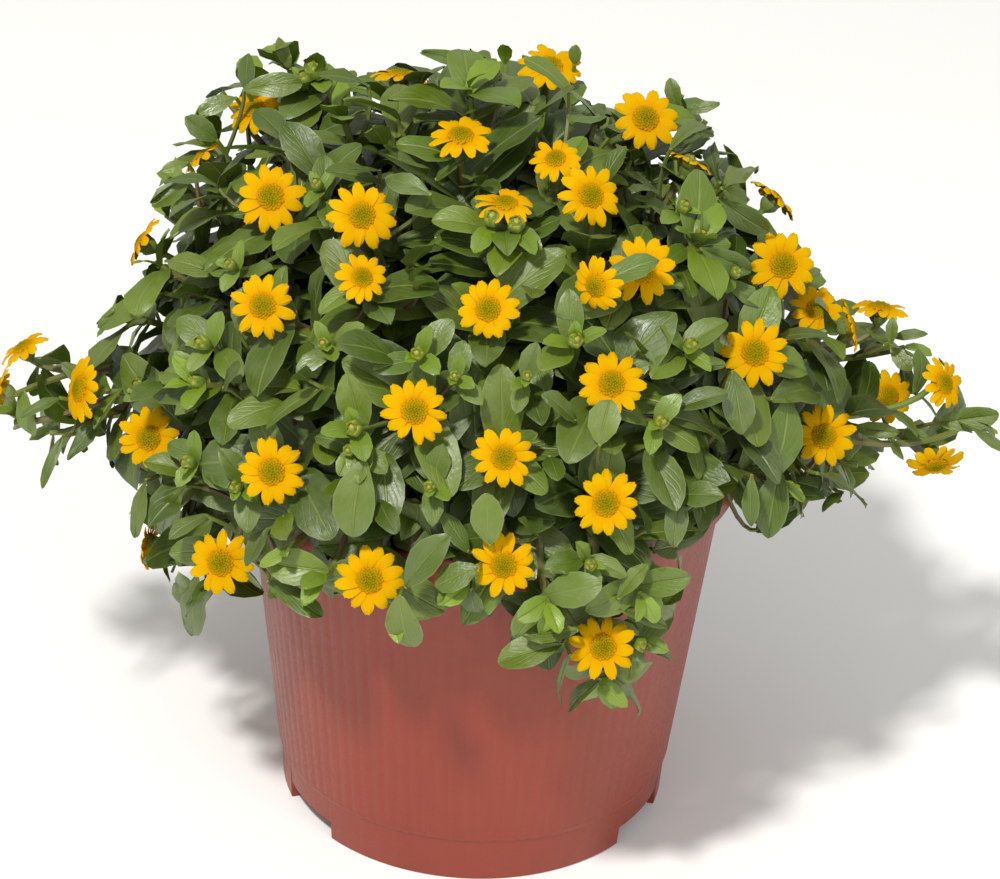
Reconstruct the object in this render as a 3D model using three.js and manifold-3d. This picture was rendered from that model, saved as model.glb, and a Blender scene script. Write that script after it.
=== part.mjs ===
// Potted creeping zinnia: a plastic pot, its potting soil, leafy stems in a mound that trails over the lip,
// and blooms. Millimetres, +Z up. The origin is on the pot's axis, where the pot stands, and -Y is the front.
import * as THREE from "three";
import { mergeVertices } from "three/addons/utils/BufferGeometryUtils.js";
import Module from "manifold-3d";

const wasm = await Module();
wasm.setup();

// Pot: moulded in one piece, with a turned-out lip, a tapered wall and a foot that is notched three times.
const pot = {
  height: 106,
  lipRadius: 65,
  lipDrop: 9,
  wall: 1.8,
  topRadius: 60.8,
  baseRadius: 49.6,
  footHeight: 13,
  footRadius: 50.4,
  floorLift: 5.5,
  floorThick: 2.2,
  sides: 40,
};
const notch = { count: 3, width: 21, height: 5, depth: 16, first: -57 };
const drain = { count: 6, radius: 3.2, ring: 30 };

// Soil: fills the pot to just below its lip.
const soil = { top: 97, crown: 3, gap: 0.5 };

// Leafy stems: eight main stems rise from holes in the soil. One fills the crown of the mound, round the
// axis, and each of the others fills its own sector outside the crown.
const gap = 0.3;
const sectorEdges = [-162, -112, -58, -4, 46, 108, 153];
const crown = { radius: 33, number: 7, ring: 17 };
const mainStem = { radius: 2.2, depth: 22 };
const smallest = 0.12;
const core = { centre: 108, radius: 67, hidden: 64, base: 98.5, neck: 54 };

// Mound: the ellipsoid that the tips of all the shoots lie on.
const mound = { centre: 108, side: 88, front: 84, tall: 87, backOut: 1.07 };
// Tips behind stand wider apart, and those that trail low behind stand closer.
const tipSpacing = 23.5;
const behindSpacing = { high: 1.3, low: 0.8, below: 0.12 };
const fillTips = 260;

const shoot = { radii: [1.15, 1, 0.8], sides: 3, steps: [0, 0.58, 1] };
const leafPairs = [
  { back: 2.5, long: 18, open: 64 },
  { back: 8.5, long: 24, open: 56 },
  { back: 15, long: 27, open: 48 },
  { back: 27, long: 26, open: 58 },
];
const lowLeaf = { long: 29, open: 44, spots: 170 };
const swingRound = [0, 18, -18, 36, -36, 54, -54, 75, -75];
const leafWide = 0.27;
const ribThick = 0.9;
const clearOfLeaf = 4.5;
const rootSunk = 0.7;

const bloom = { rays: 11, radius: 8.3, notch: 5.7, disc: 3.2, rise: 1.7, rim: 0.45, seat: -0.9 };
const cup = { top: -1.25, radius: 2.6, bottom: -4.4, stalk: 0.7 };

// Where the photograph was taken from, which turns a pixel of its 1000 x 879 frame into a line of sight.
const sight = {
  aim: [3.3, 0, 100.5],
  distance: 1200,
  elevation: 31,
  roll: 2.75,
  focal: 4750,
  centre: [500, 439.5],
};

// Blooms that the photograph shows: pixel across, pixel down, the way the face is turned (0 is to the viewer
// and 90 to the right), its rise above the horizon, its size against a full bloom, and how far it stands off
// the mound towards the viewer.
const seenBlooms = [
  [603, 643, 2, 26, 1.02],
  [504, 561, 0, 26, 1],
  [370, 576, -4, 26, 1.04],
  [221, 559, -8, 22, 1.04],
  [606, 499, 4, 28, 1.02],
  [504, 453, 0, 30, 0.95],
  [415, 407, -2, 30, 1],
  [272, 468, -4, 30, 1.03],
  [149, 435, -8, 32, 1],
  [82, 386, -62, 20, 1.05, 10],
  [24, 346, -95, 58, 0.85, -10],
  [2, 388, -95, 10, 0.8, 2],
  [150, 541, -105, 0, 0.85],
  [263, 302, -4, 32, 1],
  [362, 274, 15, 46, 0.82],
  [362, 212, 5, 36, 1.03],
  [271, 194, -8, 38, 1.07],
  [143, 240, -98, 25, 0.9],
  [203, 154, -110, 45, 0.8],
  [255, 107, -35, 60, 0.9],
  [400, 74, 175, 72, 0.95],
  [461, 134, 0, 76, 1],
  [505, 196, 0, 84, 0.95],
  [550, 65, 12, 70, 1.02],
  [648, 120, 14, 46, 1.05],
  [587, 190, 20, 40, 0.98],
  [556, 156, -20, 62, 0.8],
  [597, 281, -32, 8, 0.88, 9],
  [643, 266, 4, 34, 1.04],
  [478, 304, 2, 30, 0.95],
  [612, 380, 2, 42, 1.02],
  [783, 262, 10, 34, 1.08],
  [755, 349, 6, 32, 1.06],
  [817, 308, 18, 56, 0.9],
  [849, 322, 100, 15, 0.85, 22],
  [880, 307, 160, 76, 0.95],
  [887, 394, 26, 32, 0.92],
  [943, 381, 48, 36, 0.86, 8],
  [936, 460, 10, -28, 0.95],
  [824, 433, 2, 28, 1],
  [690, 160, 140, 50, 0.8],
];
const plainBlooms = 6;

// Leafy tips that stand out of the mound in the photograph: pixel across, pixel down, and how far each stands
// off the mound towards the viewer.
const seenTips = [
  [318, 72, -6],
  [284, 56, -12],
  [256, 72, -16],
  [222, 90, -18],
  [200, 128, -20],
  [186, 180, -12],
  [166, 212, -12],
  [158, 262, 8],
  [345, 108],
  [384, 92, -10],
  [430, 66, 4],
  [470, 84, 10],
  [505, 62, -8],
  [575, 60, -14],
  [598, 112, -8],
  [682, 92, -14],
  [706, 118, -6],
  [716, 165, 8],
  [748, 195, -6],
  [700, 235],
  [905, 345, -10],
  [970, 418],
  [858, 462, 8],
  [780, 478],
  [50, 430, -14],
  [14, 420, -12],
  [112, 305, -6],
  [140, 500, -8],
  [196, 598, -6],
  [398, 610],
  [640, 590],
  [455, 580],
  [322, 575],
  [548, 600],
  [600, 680],
  [290, 545],
];

const turn = Math.PI / 180;
const up = new THREE.Vector3(0, 0, 1);
const middle = new THREE.Vector3(0, 0, mound.centre);
const vector = (x, y, z) => new THREE.Vector3(x, y, z);
const facing = (yaw, rise) =>
  vector(
    Math.sin(yaw * turn) * Math.cos(rise * turn),
    -Math.cos(yaw * turn) * Math.cos(rise * turn),
    Math.sin(rise * turn),
  );

// A seeded run of even draws from 0 to 1.
function draws(seed) {
  let state = seed * 7919 + 17;
  const next = () => {
    state = (state * 16807) % 2147483647;
    return state / 2147483647;
  };
  next();
  next();
  return next;
}

// A closed mesh from corner points and the triangles between them.
function closed(points, triangles) {
  const geometry = new THREE.BufferGeometry();
  const corners = points.flatMap((p) => [p.x, p.y, p.z]);
  geometry.setAttribute("position", new THREE.Float32BufferAttribute(corners, 3));
  geometry.setIndex(triangles.flat());
  return geometry;
}

function solid(geometry) {
  const bare = geometry.clone();
  bare.deleteAttribute("normal");
  bare.deleteAttribute("uv");
  const merged = mergeVertices(bare, 1e-4);
  return new wasm.Manifold(
    new wasm.Mesh({
      numProp: 3,
      vertProperties: merged.attributes.position.array,
      triVerts: new Uint32Array(merged.index.array),
    }),
  );
}

function geometryOf(manifold) {
  const mesh = manifold.getMesh();
  const geometry = new THREE.BufferGeometry();
  geometry.setAttribute("position", new THREE.BufferAttribute(new Float32Array(mesh.vertProperties), 3));
  geometry.setIndex(new THREE.BufferAttribute(new Uint32Array(mesh.triVerts), 1));
  return geometry;
}

// A profile of [radius, height] points, from axis to axis, spun round Z.
function spun(profile, sides) {
  const lathe = new THREE.LatheGeometry(profile.map(([r, z]) => new THREE.Vector2(r, z)), sides);
  return lathe.rotateX(Math.PI / 2);
}

// A rod of flat sides through the points, with one radius for each point.
function rod(points, radii, sides) {
  const corners = [];
  const triangles = [];
  const last = points.length - 1;
  const side = vector(0, 0, 0);
  points.forEach((p, i) => {
    const along = points[Math.min(i + 1, last)].clone().sub(points[Math.max(i - 1, 0)]).normalize();
    if (i === 0) side.crossVectors(along, Math.abs(along.z) < 0.9 ? up : vector(1, 0, 0)).normalize();
    side.addScaledVector(along, -side.dot(along)).normalize();
    const other = vector(0, 0, 0).crossVectors(along, side);
    for (let k = 0; k < sides; k++) {
      const a = (2 * Math.PI * k) / sides;
      const corner = p.clone().addScaledVector(side, radii[i] * Math.cos(a));
      corners.push(corner.addScaledVector(other, radii[i] * Math.sin(a)));
    }
  });
  for (let i = 0; i < last; i++)
    for (let k = 0; k < sides; k++) {
      const a = i * sides + k;
      const b = i * sides + ((k + 1) % sides);
      triangles.push([a, b, b + sides], [a, b + sides, a + sides]);
    }
  for (let k = 1; k < sides - 1; k++) {
    triangles.push([0, k + 1, k], [last * sides, last * sides + k, last * sides + k + 1]);
  }
  return closed(corners, triangles);
}

// The radius of the pot's outer wall at a height.
function wallAt(z) {
  return pot.baseRadius + ((pot.topRadius - pot.baseRadius) * z) / (pot.height - pot.lipDrop);
}

function makePot() {
  const under = pot.height - pot.lipDrop;
  const outside = [
    [0, pot.floorLift],
    [pot.footRadius - 3.2, pot.floorLift],
    [pot.footRadius - 3, 0],
    [pot.footRadius - 0.8, 0],
    [pot.footRadius, pot.footHeight - 0.6],
    [wallAt(pot.footHeight), pot.footHeight],
    [wallAt(under), under],
    [pot.lipRadius - 0.4, under],
    [pot.lipRadius, pot.height],
    [pot.lipRadius - 1.4, pot.height],
    [wallAt(pot.height) - pot.wall, pot.height - 2],
    [wallAt(pot.floorLift + pot.floorThick) - pot.wall - 0.6, pot.floorLift + pot.floorThick],
    [0, pot.floorLift + pot.floorThick],
  ];
  let body = solid(spun(outside, pot.sides));
  for (let i = 0; i < notch.count; i++) {
    const block = new THREE.BoxGeometry(notch.width, notch.depth, 2 * notch.height);
    block.translate(0, -pot.footRadius, 0).rotateZ((notch.first + (360 / notch.count) * i) * turn);
    body = body.subtract(solid(block));
  }
  for (let i = 0; i < drain.count; i++) {
    const hole = new THREE.CylinderGeometry(drain.radius, drain.radius, 12, 8).rotateX(Math.PI / 2);
    hole.translate(drain.ring, 0, pot.floorLift).rotateZ((360 / drain.count) * (i + 0.5) * turn);
    body = body.subtract(solid(hole));
  }
  return geometryOf(body);
}

// The bearings between which main stem number i grows, and where it goes into the soil.
const spanOf = (i) => [sectorEdges[i], i + 1 < crown.number ? sectorEdges[i + 1] : sectorEdges[0] + 360];
function rootPoint(i) {
  if (i === crown.number) return vector(0, 0, 0);
  const [from, to] = spanOf(i);
  return facing((from + to) / 2, 0).multiplyScalar(crown.radius + crown.ring / 2);
}

function makeSoil() {
  const innerAt = (z) => wallAt(z) - pot.wall - soil.gap;
  const floor = pot.floorLift + pot.floorThick + gap;
  const heap = [
    [0, floor],
    [innerAt(floor) - 0.6, floor],
    [innerAt(soil.top), soil.top - soil.crown],
    [innerAt(soil.top) - 14, soil.top - 0.6],
    [0, soil.top],
  ];
  let body = solid(spun(heap, 24));
  for (let i = 0; i <= crown.number; i++) {
    const at = rootPoint(i);
    const reach = mainStem.depth + 4;
    const hole = new THREE.CylinderGeometry(mainStem.radius + gap, mainStem.radius + gap, reach, 6);
    hole.rotateX(Math.PI / 2).translate(at.x, at.y, soil.top - mainStem.depth - gap + reach / 2);
    body = body.subtract(solid(hole));
  }
  return geometryOf(body);
}

// The number of the main stem whose share of the mound a point stands in.
function shareOf(point) {
  if (Math.hypot(point.x, point.y) < crown.radius) return crown.number;
  const yaw = Math.atan2(point.x, -point.y) / turn;
  let found = crown.number - 1;
  sectorEdges.forEach((edge, i) => {
    if (yaw >= edge) found = i;
  });
  return found;
}

// How far a point is inside a main stem's share, and the same point moved in by what it lacks.
const sideWalls = sectorEdges.map((_, i) => {
  const [from, to] = spanOf(i);
  return [facing(from + 90, 0), facing(to - 90, 0)];
});
function within(point, share) {
  const flat = Math.hypot(point.x, point.y);
  if (share === crown.number) return crown.radius - flat;
  return Math.min(flat - crown.radius, ...sideWalls[share].map((wall) => point.dot(wall)));
}
function pushIn(point, share, margin) {
  const flat = Math.max(1e-6, Math.hypot(point.x, point.y));
  const inner = share === crown.number;
  const out = inner ? Math.min(flat, crown.radius - margin) : Math.max(flat, crown.radius + margin);
  point.x *= out / flat;
  point.y *= out / flat;
  if (inner) return point;
  for (const wall of sideWalls[share]) {
    const short = margin - point.dot(wall);
    if (short > 0) point.addScaledVector(wall, short);
  }
  return point;
}

// Spot number i of an even spiral over a ball, from its top down through the share of its height.
function spotOnBall(i, count, share) {
  const z = 1 - (i / count) * share;
  const flat = Math.sqrt(1 - z * z);
  const way = vector(flat * Math.sin(i * 137.508 * turn), -flat * Math.cos(i * 137.508 * turn), z);
  return { way, draw: draws(i + 500) };
}

// The mound's own radius in a direction from its centre.
function reach(direction) {
  return 1 / Math.hypot(direction.x / mound.side, direction.y / mound.front, direction.z / mound.tall);
}

// The point of the mound that a pixel of the photograph shows, or where its line of sight passes nearest.
function seen(across, down, nearer) {
  const back = facing(0, sight.elevation);
  const right = vector(1, 0, 0);
  const rise = vector(0, 0, 0).crossVectors(back, right);
  const c = Math.cos(sight.roll * turn);
  const s = Math.sin(sight.roll * turn);
  const u = across - sight.centre[0];
  const w = sight.centre[1] - down;
  const eye = vector(...sight.aim).addScaledVector(back, sight.distance);
  const ray = back.clone().multiplyScalar(-sight.focal);
  ray.addScaledVector(right, u * c - w * s).addScaledVector(rise, u * s + w * c);
  const shrink = vector(1 / mound.side, 1 / mound.front, 1 / mound.tall);
  const o = eye.clone().sub(middle).multiply(shrink);
  const d = ray.clone().multiply(shrink);
  const along = -o.dot(d) / d.dot(d);
  const off = o.clone().addScaledVector(d, along).lengthSq();
  const step = off < 1 ? Math.sqrt((1 - off) / d.dot(d)) : 0;
  return eye.addScaledVector(ray, along - step - nearer / sight.focal);
}

// Every shoot's tip: the blooms and tips of the photograph first, then even spots over the rest of the mound.
function findTips() {
  const tips = [];
  const add = (kind, point, face, size) => {
    const share = shareOf(point);
    pushIn(point, share, 3);
    tips.push({ kind, point, face, size, share });
  };
  for (const [across, down, yaw, rise, size, nearer = 0] of seenBlooms)
    add("bloom", seen(across, down, nearer), facing(yaw, rise), size);
  const outward = (point) => point.clone().sub(middle).normalize().addScaledVector(up, 0.25).normalize();
  for (const [across, down, nearer = 0] of seenTips) {
    const point = seen(across, down, nearer);
    add("leaf", point, outward(point), 1);
  }
  let plain = 0;
  for (let i = 0; i < fillTips; i++) {
    const { way, draw } = spotOnBall(i, fillTips, 1.42);
    const out = way.y > 0 ? mound.backOut : 1;
    const point = middle.clone().addScaledVector(way, reach(way) * out * (0.9 + 0.12 * draw()));
    const behind = way.y > 0.1;
    const near = Math.min(...tips.map((tip) => tip.point.distanceTo(point)));
    const spread = way.z < behindSpacing.below ? behindSpacing.low : behindSpacing.high;
    if (near < tipSpacing * (behind ? spread : 1)) continue;
    const blooms = behind && plain < plainBlooms && draw() < 0.42;
    if (blooms) plain++;
    const kind = blooms ? "bloom" : draw() < 0.45 ? "bud" : "leaf";
    add(kind, point, outward(point), 0.9 + 0.15 * draw());
  }
  return tips;
}

// A shoot runs from inside the core, over the lip, to its tip, where it points the way the bloom faces. It
// swings aside when it would meet another bloom or the pot on its way.
const swings = [
  [0, 0],
  [6, 0],
  [-6, 0],
  [0, 6],
  [0, -6],
  [11, 0],
  [-11, 0],
  [8, 8],
  [-8, -8],
  [8, -8],
  [-8, 8],
  [0, 12],
  [17, 0],
  [-17, 0],
  [14, -14],
  [-14, -14],
  [24, 0],
  [-24, 0],
  [0, -18],
  [30, -10],
  [-30, -10],
];

function findPath(tip, tips) {
  const others = tips.filter((other) => other !== tip);
  for (const swing of swings) {
    const path = shootPath(tip, swing);
    const points = Array.from({ length: 45 }, (_, i) => backFrom(path, 2 * i).at);
    const bare = points.filter((p) => p.distanceTo(middle) > core.hidden);
    const clear = bare.every((p) => clearOfBlooms(p, others) && (clearOfPot(p) || p.z > pot.height + 1));
    if (clear) return path;
  }
  return tip.kind === "bloom" ? shootPath(tip, swings[0]) : null;
}

function shootPath(tip, [aside, lift]) {
  const way = tip.point.clone().sub(middle).normalize();
  const raised = way.clone();
  raised.z = Math.max(raised.z, 0.22);
  raised.normalize();
  const low = Math.min(1, Math.max(0, 0.25 - way.z) / 0.4);
  const level = vector(0, 0, 0).crossVectors(up, way).normalize();
  const steep = vector(0, 0, 0).crossVectors(way, level);
  const bend = level.multiplyScalar(aside).addScaledVector(steep, lift);
  const drop = tip.kind === "bloom" ? cup.bottom * tip.size : 0;
  const end = tip.point.clone().addScaledVector(tip.face, drop);
  const points = [
    middle.clone().addScaledVector(raised, 55),
    middle.clone().addScaledVector(raised, 62 + 20 * low).add(bend),
    end.clone().addScaledVector(tip.face, -9).addScaledVector(way, -4).add(bend),
    end.clone(),
  ].map((point) => pushIn(point, tip.share, 1.8));
  const curve = new THREE.CubicBezierCurve3(...points);
  return shoot.steps.map((t) => curve.getPoint(t));
}

// The point and the direction of a path at a distance back from its end.
function backFrom(path, distance) {
  let left = distance;
  for (let i = path.length - 1; i > 0; i--) {
    const stem = path[i].clone().sub(path[i - 1]);
    const long = stem.length();
    stem.normalize();
    const at = path[i].clone().addScaledVector(stem, -Math.min(left, long));
    if (left <= long || i === 1) return { at, stem };
    left -= long;
  }
}

// A leaf's own frame: along its rib, across it, and up out of its face, which turns to the light. The leaf is
// set round its stem by an angle, and opens away from the stem's direction by another.
function leafFrame(at, stem, spec, size, round, draw) {
  const ref = Math.abs(stem.z) < 0.9 ? up : vector(1, 0, 0);
  const across = vector(0, 0, 0).crossVectors(stem, ref).normalize();
  const other = vector(0, 0, 0).crossVectors(stem, across);
  const open = (spec.open + (draw() - 0.5) * 18) * turn;
  const along = stem.clone().multiplyScalar(Math.cos(open));
  along.addScaledVector(across, Math.sin(open) * Math.cos(round));
  along.addScaledVector(other, Math.sin(open) * Math.sin(round));
  along.z += 0.1;
  along.normalize();
  const face = stem.clone().multiplyScalar(0.65).addScaledVector(up, 0.6);
  face.addScaledVector(along, -face.dot(along)).normalize();
  return {
    base: at.clone().addScaledVector(along, -rootSunk),
    along,
    face,
    across: vector(0, 0, 0).crossVectors(face, along),
    long: spec.long * size * (0.84 + 0.3 * draw()),
    bend: (16 + 34 * draw()) * turn,
    fold: 0.1 + 0.25 * draw(),
    wide: leafWide * (0.85 + 0.3 * draw()),
  };
}

// A point of the blade: t runs from root to tip, s from edge to edge, and lift is off the face.
function bladePoint(leaf, t, s, lift) {
  const arc = leaf.long / leaf.bend;
  const a = leaf.bend * t;
  const half = leaf.long * leaf.wide * Math.pow(Math.sin(Math.PI * Math.pow(t, 0.85)), 0.8);
  const normal = leaf.face.clone().multiplyScalar(Math.cos(a)).addScaledVector(leaf.along, Math.sin(a));
  return leaf.base
    .clone()
    .addScaledVector(leaf.along, arc * Math.sin(a))
    .addScaledVector(leaf.face, -arc * (1 - Math.cos(a)))
    .addScaledVector(leaf.across, s * half)
    .addScaledVector(normal, lift + Math.abs(s) * half * leaf.fold);
}
const rim = [0.3, 0.66];

// The blade is thick along its rib and comes to an edge all round, and both its faces are split alike.
function makeLeaf(leaf) {
  const points = [bladePoint(leaf, 0, 0, 0), bladePoint(leaf, 1, 0, 0)];
  for (const t of rim) points.push(bladePoint(leaf, t, 1, 0));
  for (const t of rim) points.push(bladePoint(leaf, t, -1, 0));
  points.push(bladePoint(leaf, 0.5, 0, ribThick / 2), bladePoint(leaf, 0.5, 0, -ribThick / 2));
  const face = (rib, near, far) => [
    [0, rib, near],
    [near, rib, far],
    [far, rib, 1],
  ];
  const flip = (list) => list.map(([a, b, c]) => [a, c, b]);
  const triangles = [...face(6, 2, 3), ...flip(face(6, 4, 5)), ...flip(face(7, 2, 3)), ...face(7, 4, 5)];
  return closed(points, triangles);
}

// The points of a leaf that are kept clear of the other leaves, the blooms, the pot and the sector's bounds.
const probes = [
  [0.5, 0],
  [0.75, 0],
  [1, 0],
  [0.3, 1],
  [0.3, -1],
  [0.5, 1],
  [0.5, -1],
  [0.8, 1],
  [0.8, -1],
];
const bloomDrum = { radius: 9.2, over: 2.4, under: 2.1 };
const bloomGuard = { radius: 9.4, over: 8, under: 2.6 };

function clearOfBlooms(point, tips) {
  for (const tip of tips) {
    if (tip.kind !== "bloom") continue;
    const off = point.clone().sub(tip.point);
    const rise = off.dot(tip.face);
    if (rise > bloomGuard.over || rise < -bloomGuard.under) continue;
    if (off.addScaledVector(tip.face, -rise).length() < bloomGuard.radius * tip.size) return false;
  }
  return true;
}

function clearOfPot(point) {
  const flat = Math.hypot(point.x, point.y);
  if (point.z > pot.height + 1.5) return true;
  if (point.z < 3) return false;
  return flat > pot.lipRadius + 1.5;
}

// Opposite pairs along every shoot, and then single leaves that stand out of the core where there is room.
// A leaf that would meet something is tried again, swung round its stem, before it is left out.
function growLeaves(tips) {
  const leaves = [];
  const taken = [];
  const blooms = tips.filter((tip) => tip.kind === "bloom");
  const drums = blooms.map((tip) => ({ at: tip.point, drum: makeDrum(tip) }));
  const meets = (body, from) =>
    drums.some(({ at, drum }) => at.distanceTo(from) < 45 && !drum.intersect(body).isEmpty());
  const grow = (share, make) => {
    for (const swing of swingRound) {
      const leaf = make(swing * turn);
      const points = probes.map(([t, s]) => bladePoint(leaf, t, s, 0));
      if (!points.every((p) => within(p, share) > 0.8 && clearOfPot(p) && clearOfBlooms(p, tips))) continue;
      if (points.some((p) => taken.some((q) => p.distanceTo(q) < clearOfLeaf))) continue;
      const body = solid(makeLeaf(leaf));
      if (meets(body, leaf.base)) continue;
      taken.push(...points);
      leaves.push({ body, share });
      return;
    }
  };
  leafPairs.forEach((spec, pair) => {
    tips.forEach((tip, number) => {
      const { at, stem } = backFrom(tip.path, spec.back * tip.size);
      if (at.distanceTo(middle) < core.radius - 3) return;
      for (const half of [0, 1]) {
        const round = tip.spin + (pair % 2 ? Math.PI / 2 : 0) + half * Math.PI;
        const seed = number * 40 + pair * 10 + half + 3;
        grow(tip.share, (swing) => leafFrame(at, stem, spec, tip.size, round + swing, draws(seed)));
      }
    });
  });
  for (let i = 0; i < lowLeaf.spots; i++) {
    const { way, draw } = spotOnBall(i, lowLeaf.spots, 0.92);
    const at = middle.clone().addScaledVector(way, core.radius - 3);
    const round = 2 * Math.PI * draw();
    grow(shareOf(at), (swing) => leafFrame(at, way, lowLeaf, 1, round + swing, draws(i + 4000)));
  }
  return leaves;
}

// The rays and the domed disc in one closed body, thick at the disc and sharp at the rays' ends.
function makeBloom(tip) {
  const n = bloom.rays;
  const points = [vector(0, 0, bloom.seat), vector(0, 0, bloom.rise)];
  const draw = draws(Math.round(tip.size * 1000) + 7);
  const polar = (r, a, z) => vector(r * Math.cos(a), r * Math.sin(a), z);
  for (let k = 0; k < n; k++) {
    const a = (2 * Math.PI * k) / n;
    const long = bloom.radius * (0.92 + 0.12 * draw());
    const droop = -0.6 - 0.9 * draw();
    points.push(polar(bloom.disc, a, bloom.rim), polar(long, a - 0.19, droop), polar(long, a + 0.19, droop));
    points.push(polar(bloom.notch, a + Math.PI / n, -0.2));
  }
  const triangles = [];
  for (let k = 0; k < n; k++) {
    const [i, l, r, v] = [2, 3, 4, 5].map((m) => m + 4 * k);
    const [i2, l2] = [2, 3].map((m) => m + 4 * ((k + 1) % n));
    triangles.push([i, l, r], [i, r, v], [i, v, i2], [i2, v, l2], [i, i2, 1]);
    triangles.push([0, r, l], [0, v, r], [0, l2, v]);
  }
  const geometry = closed(points, triangles).scale(tip.size, tip.size, tip.size);
  const stand = new THREE.Quaternion().setFromUnitVectors(up, tip.face);
  geometry.rotateZ(tip.spin).applyQuaternion(stand);
  return geometry.translate(tip.point.x, tip.point.y, tip.point.z);
}

// The flat drum round a bloom that no leaf reaches into.
function makeDrum(tip) {
  const { radius, over, under } = bloomDrum;
  const drum = new THREE.CylinderGeometry(radius, radius, over + under, 16).rotateX(Math.PI / 2);
  drum.translate(0, 0, (over - under) / 2).scale(tip.size, tip.size, tip.size);
  drum.applyQuaternion(new THREE.Quaternion().setFromUnitVectors(up, tip.face));
  return solid(drum.translate(tip.point.x, tip.point.y, tip.point.z));
}

// The green cup that a bloom sits on, at the end of its stalk.
function makeCup(tip) {
  const at = (z) => tip.point.clone().addScaledVector(tip.face, z * tip.size);
  return rod([at(cup.top), at(cup.bottom - 0.6)], [cup.radius * tip.size, cup.stalk * tip.size], 5);
}

function makeBud(tip) {
  const size = 2.4 * tip.size;
  const ball = new THREE.OctahedronGeometry(size, 0);
  return ball.translate(...tip.point.clone().addScaledVector(tip.face, size * 0.5));
}

function makeShoot(tip) {
  return rod(tip.path, shoot.radii, shoot.sides);
}

// A main stem's share of the dense inner mound, and the part of the stem that goes down into the soil.
function makeCore(i) {
  const dome = solid(
    spun(
      [
        [0, core.base],
        [core.neck, core.base],
        [core.neck + 2, pot.height],
        [core.radius - 2, pot.height + 4],
        ...[10, 28, 46, 66, 90].map((a) => [
          a < 90 ? core.radius * Math.cos(a * turn) : 0,
          core.centre + core.radius * Math.sin(a * turn),
        ]),
      ],
      28,
    ),
  );
  const at = rootPoint(i);
  const stem = rod(
    [at.clone().setZ(soil.top - mainStem.depth), at.clone().setZ(core.base + 6)],
    [mainStem.radius * 0.8, mainStem.radius],
    6,
  );
  const column = (radius) => {
    const upright = new THREE.CylinderGeometry(radius, radius, 2 * core.centre, 28).rotateX(Math.PI / 2);
    return solid(upright.translate(0, 0, core.centre));
  };
  if (i === crown.number) return dome.intersect(column(crown.radius - gap)).add(solid(stem));
  const [from, to] = spanOf(i);
  const half = ((to - from) / 2) * turn;
  const wedge = new THREE.Shape();
  const start = gap / Math.sin(half);
  wedge.moveTo(0, start);
  wedge.lineTo(-Math.tan(half) * 120, start + 120);
  wedge.lineTo(Math.tan(half) * 120, start + 120);
  const prism = new THREE.ExtrudeGeometry(wedge, { depth: 80, bevelEnabled: false });
  prism.translate(0, 0, core.base - 10).rotateZ(Math.PI + ((from + to) / 2) * turn);
  return solid(prism).intersect(dome).subtract(column(crown.radius + gap)).add(solid(stem));
}

const paint = {
  pot: new THREE.MeshStandardMaterial({ color: 0x9c5345, roughness: 0.5, metalness: 0 }),
  soil: new THREE.MeshStandardMaterial({ color: 0x2e2018, roughness: 0.95, metalness: 0 }),
  leaf: new THREE.MeshStandardMaterial({ color: 0x4b7036, roughness: 0.55, metalness: 0 }),
  bloom: new THREE.MeshStandardMaterial({ color: 0xf7b000, roughness: 0.6, metalness: 0 }),
};

const plant = new THREE.Group();
function place(name, geometry, material) {
  const mesh = new THREE.Mesh(geometry, material);
  mesh.name = name;
  plant.add(mesh);
}

const found = findTips();
found.forEach((tip, number) => {
  tip.spin = 2 * Math.PI * draws(number + 90)();
  tip.path = findPath(tip, found);
});
const tips = found.filter((tip) => tip.path);

place("pot", makePot(), paint.pot);
place("soil", makeSoil(), paint.soil);

tips
  .filter((tip) => tip.kind === "bloom")
  .forEach((tip, i) => place("bloom_" + String(i + 1).padStart(2, "0"), makeBloom(tip), paint.bloom));

// Every main stem is joined with its shoots, cups, buds and leaves into one body.
const bunches = Array.from({ length: crown.number + 1 }, (_, i) => [makeCore(i)]);
for (const tip of tips) {
  const bunch = bunches[tip.share];
  bunch.push(solid(makeShoot(tip)));
  if (tip.kind === "bloom") bunch.push(solid(makeCup(tip)));
  if (tip.kind === "bud") bunch.push(solid(makeBud(tip)));
}
for (const leaf of growLeaves(tips)) bunches[leaf.share].push(leaf.body);
bunches.forEach((bunch, i) => {
  const bodies = wasm.Manifold.union(bunch).asOriginal().simplify(smallest).decompose();
  bodies.sort((a, b) => b.volume() - a.volume());
  place("leafy_stem_" + (i + 1), geometryOf(bodies[0]), paint.leaf);
});

export default plant;
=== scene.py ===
"""Finish for a potted creeping zinnia: a ribbed plastic pot, potting soil, leafy stems and golden blooms.

Sizes are in millimetres while a shape is worked out, and its mesh is stored in metres. -Y is the front.
"""

import math

import bpy
import numpy as np
from mathutils import Matrix, Vector


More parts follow.
